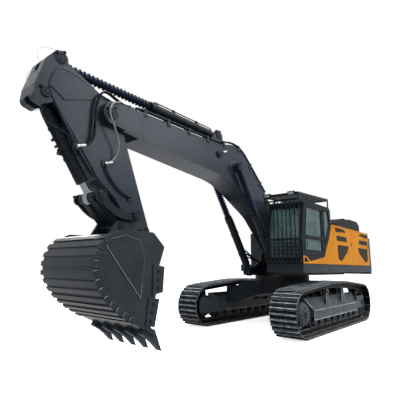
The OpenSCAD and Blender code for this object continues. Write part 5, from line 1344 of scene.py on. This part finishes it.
def seen_by(tree, *kinds):
    """One for rays of the kinds named, such as those that the camera, a gloss or a pane sends out."""
    one = add(tree, "LightPath", f"Is {kinds[0]} Ray")
    for kind in kinds[1:]:
        one = add(tree, "Math", 0, LARGER, i0=one, i1=add(tree, "LightPath", f"Is {kind} Ray"))
    return one


# Matt floor: grey as a source of light, white to look at, and it keeps the object's shadow
floor_white, tree = new_material("studio_floor")
white = add(tree, "Mix", MIXED, COLOURS, i0=seen_by(tree, "Camera", "Transmission"), i6="#8f8f8f", i7="#ffffff")
shine = add(tree, "MapRange", i0=seen_by(tree, *BACKGROUND), i4=FLOOR_GLOW)
glow = add(tree, "Emission", Color="#ffffff", Strength=shine)
add(tree, "OutputMaterial", Surface=add(tree, "AddShader", i0=add(tree, "BsdfDiffuse", Color=white), i1=glow))
floor_z = cad_box[0][2] - 0.002
corners = np.array([(-1, -1, 0), (1, -1, 0), (1, 1, 0), (-1, 1, 0)]) * FLOOR_HALF + Z * floor_z
mesh_object("floor", [(corners, [(0, 1, 2, 3)])], floor_white)

world = bpy.data.worlds.new("studio")
bpy.context.scene.world = world
world.use_nodes = True
tree = world.node_tree
tree.nodes.clear()
height = add(tree, "SeparateXYZ", "Z", Vector=add(tree, "TexCoord", "Generated"))
sky = add(tree, "MapRange", i0=height, i1=0.17, i2=0.33, i3=0.09, i4=1.05)
seen = seen_by(tree, *BACKGROUND)
tint = add(tree, "Mix", MIXED, COLOURS, i0=seen, i6="#dbe8f8", i7="#ffffff")
strength = add(tree, "MapRange", i0=seen, i3=sky, i4=1.0)
add(tree, "OutputWorld", Surface=add(tree, "Background", Color=tint, Strength=strength))
tell("stage")

# %% [markdown]
# ### Lamps
# Daylight under a bright sky has no hard edge, so four large square lamps stand for it: one overhead, one on
# the picture's side, a rim light behind and a weak fill from ahead. Small lamps would draw hard shadows.

# %% Soft lamps
# Rows of name, place, target, size in metres and power in watts
lamp_rows = [("overhead", (2.0, 3.0, 13.0), (1.0, 0, 1.5), 9, 1400),
             ("key", (-7.5, 15.0, 13.5), (0, 0, 2.0), 11, 1900),
             ("rim", (-2.0, -12.0, 9.0), (1.0, 0, 2.0), 6, 900),
             ("fill", (13.0, 2.0, 6.0), (1.5, 0, 2.0), 6, 150)]
for name, place, target, size, power in lamp_rows:
    lamp = bpy.data.lights.new(name, "AREA")
    lamp.shape, lamp.size, lamp.energy = "SQUARE", size, power
    ob = bpy.data.objects.new(name, lamp)
    bpy.context.scene.collection.objects.link(ob)
    ob.location = place
    ob.rotation_euler = (Vector(place) - Vector(target)).to_track_quat("Z", "Y").to_euler()
print("lamps:", len(lamp_rows))

# %% [markdown]
# ### Camera
# The camera stands where the picture was taken from, ahead of the machine and to its left, close to the ground.
# Its place, angles and lens were solved from points of the machine whose places are known.

# %% Camera
YAW, PITCH, ROLL = (math.radians(k) for k in (220.125, 10.702, 0.591))
CAMERA_AT, LENS_MM, SENSOR_MM, SEES_TO = at(9.89, 5.135, 1.519), 32.351, 36.0, 300
ahead = np.array([math.cos(YAW) * math.cos(PITCH), math.sin(YAW) * math.cos(PITCH), math.sin(PITCH)])
right = np.array([math.sin(YAW), -math.cos(YAW), 0.0])
above = np.cross(right, ahead)
axes = [math.cos(ROLL) * right + math.sin(ROLL) * above,
        math.cos(ROLL) * above - math.sin(ROLL) * right, -ahead]
camera = bpy.data.objects.new("camera", bpy.data.cameras.new("camera"))
bpy.context.scene.collection.objects.link(camera)
camera.matrix_world = Matrix([[*row] for row in np.stack(axes + [CAMERA_AT], 1)] + [[0, 0, 0, 1]])
camera.data.lens, camera.data.sensor_width, camera.data.sensor_fit = LENS_MM, SENSOR_MM, "HORIZONTAL"
camera.data.clip_end = SEES_TO
bpy.context.scene.camera = camera
bpy.context.scene.view_settings.view_transform = "Standard"
print("camera at", CAMERA_AT.round(3))
